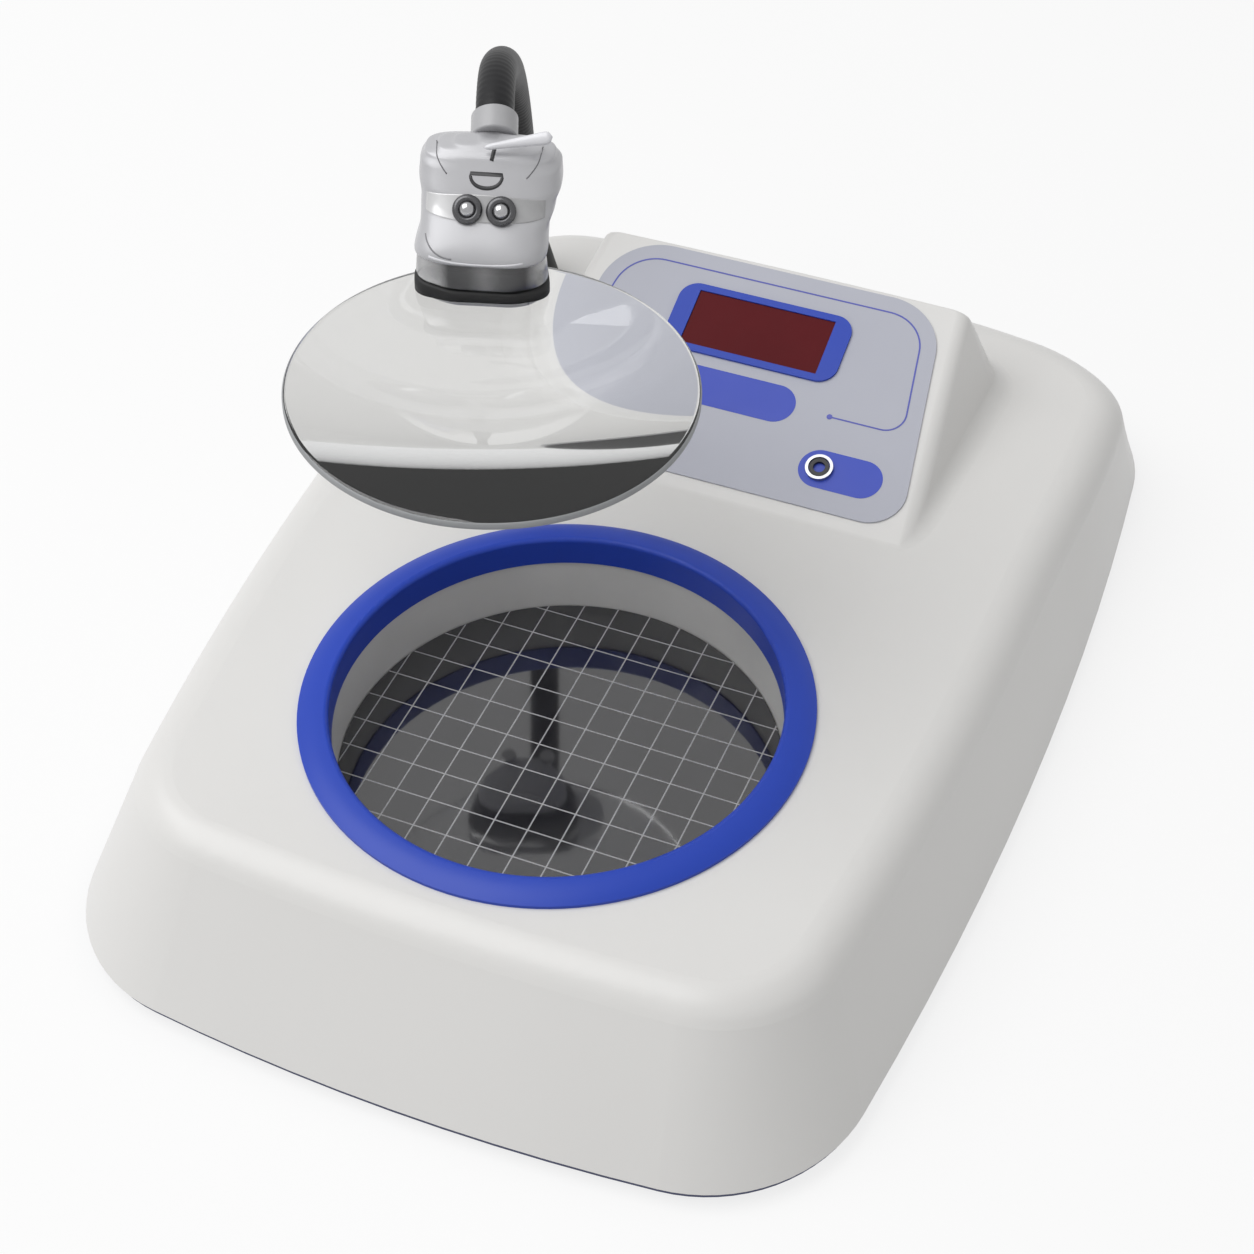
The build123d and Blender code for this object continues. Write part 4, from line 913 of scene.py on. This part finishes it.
def face_line(name, path, width, lift, material, slot, closed=False):
    """Thin line laid on the front of the head along (side, height) points."""
    count = len(path)
    points, faces = [], []
    for k, (y, h) in enumerate(path):
        ahead = path[(k + 1) % count] if closed else path[min(k + 1, count - 1)]
        behind = path[k - 1] if closed or k else path[0]
        along = Vector((ahead[0] - behind[0], ahead[1] - behind[1])).normalized()
        aside = Vector((-along.y, along.x)) * width / 2
        for sign in (1, -1):
            for layer in (lift, lift - LINE_THICK):
                points.append(head_point(y + sign * aside.x, h + sign * aside.y, layer))
    for k in range(count if closed else count - 1):
        a, b = 4 * k, 4 * ((k + 1) % count)
        faces += [(a, a + 2, b + 2, b), (a + 1, b + 1, b + 3, a + 3),
                  (a, b, b + 1, a + 1), (a + 2, a + 3, b + 3, b + 2)]
    if not closed:
        e = 4 * (count - 1)
        faces += [(0, 1, 3, 2), (e, e + 2, e + 3, e + 1)]
    new_piece(name, points, faces, material, "magnifier", slot)


def make_head_details():
    """Lamp band in painted highlight and shade, seams of the switch panel, its catch, the crease round the tongue
    drawn as a painted shade line, and a painted highlight line along the tongue's lower edge.
    """
    edges = (lambda u: 0.0093 - 0.0004 * sin(pi * u),
             lambda u: 0.0131 + 0.0014 * sin(pi * u) ** 0.7)
    # the lamp band carries a painted highlight at its left and painted shade towards its right
    face_patch("head_lamp_band", 0.0158, edges, 0.00012, band_gloss_painted_shade, "head_silver")
    for side, name in ((-1, "left"), (1, "right")):
        seam = [(side * (0.0105 + 0.0036 * t + 0.0006 * sin(pi * t)), 0.0180 + 0.0047 * t)
                for t in shares(12)]
        face_line("head_seam_" + name, seam, 0.0003, 0.00005, seam_grey, "plastic_black")
    catch = [(0.0042 * cos(pi * t), 0.0186 - 0.0028 * sin(pi * t) ** 0.8) for t in shares(24)]
    face_line("head_catch", catch, 0.0008, 0.00006, seam_dark, "plastic_black", closed=True)
    slot = [(0.0011, 0.0213), (0.0013, 0.0221), (0.0015, 0.0229), (0.0017, 0.0236)]
    face_line("head_lever_slot", slot, 0.0010, 0.00012, seam_dark, "plastic_black")
    # painted shade: a grey line laid where the crease round the tongue darkens, in place of a shaped crease
    crease = [(-0.0153 + 0.0075 * t ** 1.6, 0.0052 - 0.0034 * sin(pi / 2 * t)) for t in shares(16)]
    face_line("head_crease_painted_shade", crease, 0.0004, 0.00006, crease_painted_shade, "plastic_grey")
    # painted highlight: a pale line along the tongue's lower edge where that edge catches the light
    rim = [(-0.0140 + 0.0250 * t, 0.0008 + 0.0006 * (2 * t - 1) ** 2) for t in shares(16)]
    face_line("head_rim_painted_highlight", rim, 0.0006, 0.00006, lever_pale_and_rim_highlight, "plastic_grey")


# ---------------------------------------------------------------- panel print
PRINT_LIFT, PRINT_THICK = 0.00002, 0.00006
DOT_THICK = PRINT_THICK * 1.5
DOT_RADIUS = 0.0009
PRINT_LINE = 0.0005
RUN_BELOW, TOP_ABOVE = 0.0225, 0.0178   # the line's lower and upper run, from the window's middle


def plane_of(node):
    """Largest flat upward face of a node, as a matrix with +X along the row's +X."""
    polygons = nodes[node].data.polygons
    best = max((f for f in polygons if f.normal.z > 0.1), key=lambda f: f.area)
    normal = best.normal.copy()
    right = Vector((1, 0, 0))
    up = normal.cross(right).normalized()
    flat = [f for f in polygons if f.normal.dot(normal) > 0.9999
            and abs((f.center - best.center).dot(normal)) < 1e-5]
    heights = [nodes[node].data.vertices[v].co.dot(up) for f in flat for v in f.vertices]
    middle = (min(heights) + max(heights)) / 2
    origin = up * middle + normal * best.center.dot(normal)
    return Matrix.Translation(origin) @ Matrix((right, up, normal)).transposed().to_4x4()


panel = plane_of("panel_overlay")


def middle_on_panel(node):
    """Middle of a node's box, in the panel's own frame."""
    low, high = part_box(node)
    return panel.inverted() @ ((low + high) / 2)


def capsule(left, right, middle, radius):
    """Outline of a bar with round ends."""
    turn = [pi * t for t in shares(24)]
    ends = [Vector((right + radius * sin(a), middle - radius * cos(a))) for a in turn]
    return ends + [Vector((left - radius * sin(a), middle + radius * cos(a))) for a in turn]


def decal(name, outline, thick, material):
    """Thin plate with the given outline on the panel."""
    count = len(outline)
    points = [panel @ Vector((p.x, p.y, z)) for z in (PRINT_LIFT, PRINT_LIFT + thick)
              for p in outline]
    faces = [tuple(range(count))[::-1], tuple(range(count, 2 * count))]
    faces += [(k, (k + 1) % count, (k + 1) % count + count, k + count) for k in range(count)]
    new_piece(name, points, faces, material, "counter", "bezel_blue", smooth=False)


def ribbon(name, centre_line, width, material):
    """Printed line of even width along an open path on the panel."""
    left, right = [], []
    last = len(centre_line) - 1
    for k, p in enumerate(centre_line):
        ahead = centre_line[min(k + 1, last)] - centre_line[max(k - 1, 0)]
        aside = Vector((-ahead.y, ahead.x)).normalized() * width / 2
        left.append(p + aside)
        right.append(p - aside)
    points = [panel @ Vector((p.x, p.y, z)) for z in (PRINT_LIFT, PRINT_LIFT + PRINT_THICK)
              for p in left + right]
    count = len(left)
    up = 2 * count
    faces = []
    for l0 in range(last):
        l1, r0, r1 = l0 + 1, l0 + count, l0 + count + 1
        faces += [(l0, l1, r1, r0), (l0 + up, r0 + up, r1 + up, l1 + up),
                  (l0, l0 + up, l1 + up, l1), (r0, r1, r1 + up, r0 + up)]
    faces += [(0, count, count + up, up), (last, last + up, last + count + up, last + count)]
    new_piece(name, points, faces, material, "counter", "bezel_blue", smooth=False)


def make_panel_print():
    """Blue label fields, bare of words, and the thin line that runs round the panel."""
    jack, window = middle_on_panel("jack_nut"), middle_on_panel("display_window")
    run, top = window.y - RUN_BELOW, window.y + TOP_ABOVE
    decal("print_probe_field", capsule(jack.x, jack.x + 0.0131, jack.y, 0.0064), PRINT_THICK,
          print_blue)
    decal("print_name_field", capsule(window.x - 0.0165, window.x + 0.0135, run, 0.0065),
          PRINT_THICK, print_blue)
    for side, name in ((1, "right"), (-1, "left")):
        start, foot, end = [window.x + side * out for out in (0.0311, 0.0541, 0.0482)]
        path = rounded([(start, run, 0), (foot, run, 0.006), (end, top, 0.013),
                        (window.x, top, 0)], steps=14)
        ribbon("print_line_" + name, path, PRINT_LINE, print_line)
        dot = [Vector((start + DOT_RADIUS * cos(a), run + DOT_RADIUS * sin(a)))
               for a in circle(20)]
        decal("print_dot_" + name, dot, DOT_THICK, print_line)


dress_nodes()
make_neck_sleeve()
make_housing()
make_lens()
make_clamp()
make_lever()
make_lamps()
make_head_shell()
make_head_details()
make_panel_print()
make_camera()
make_world()
make_floor()
make_key_light()
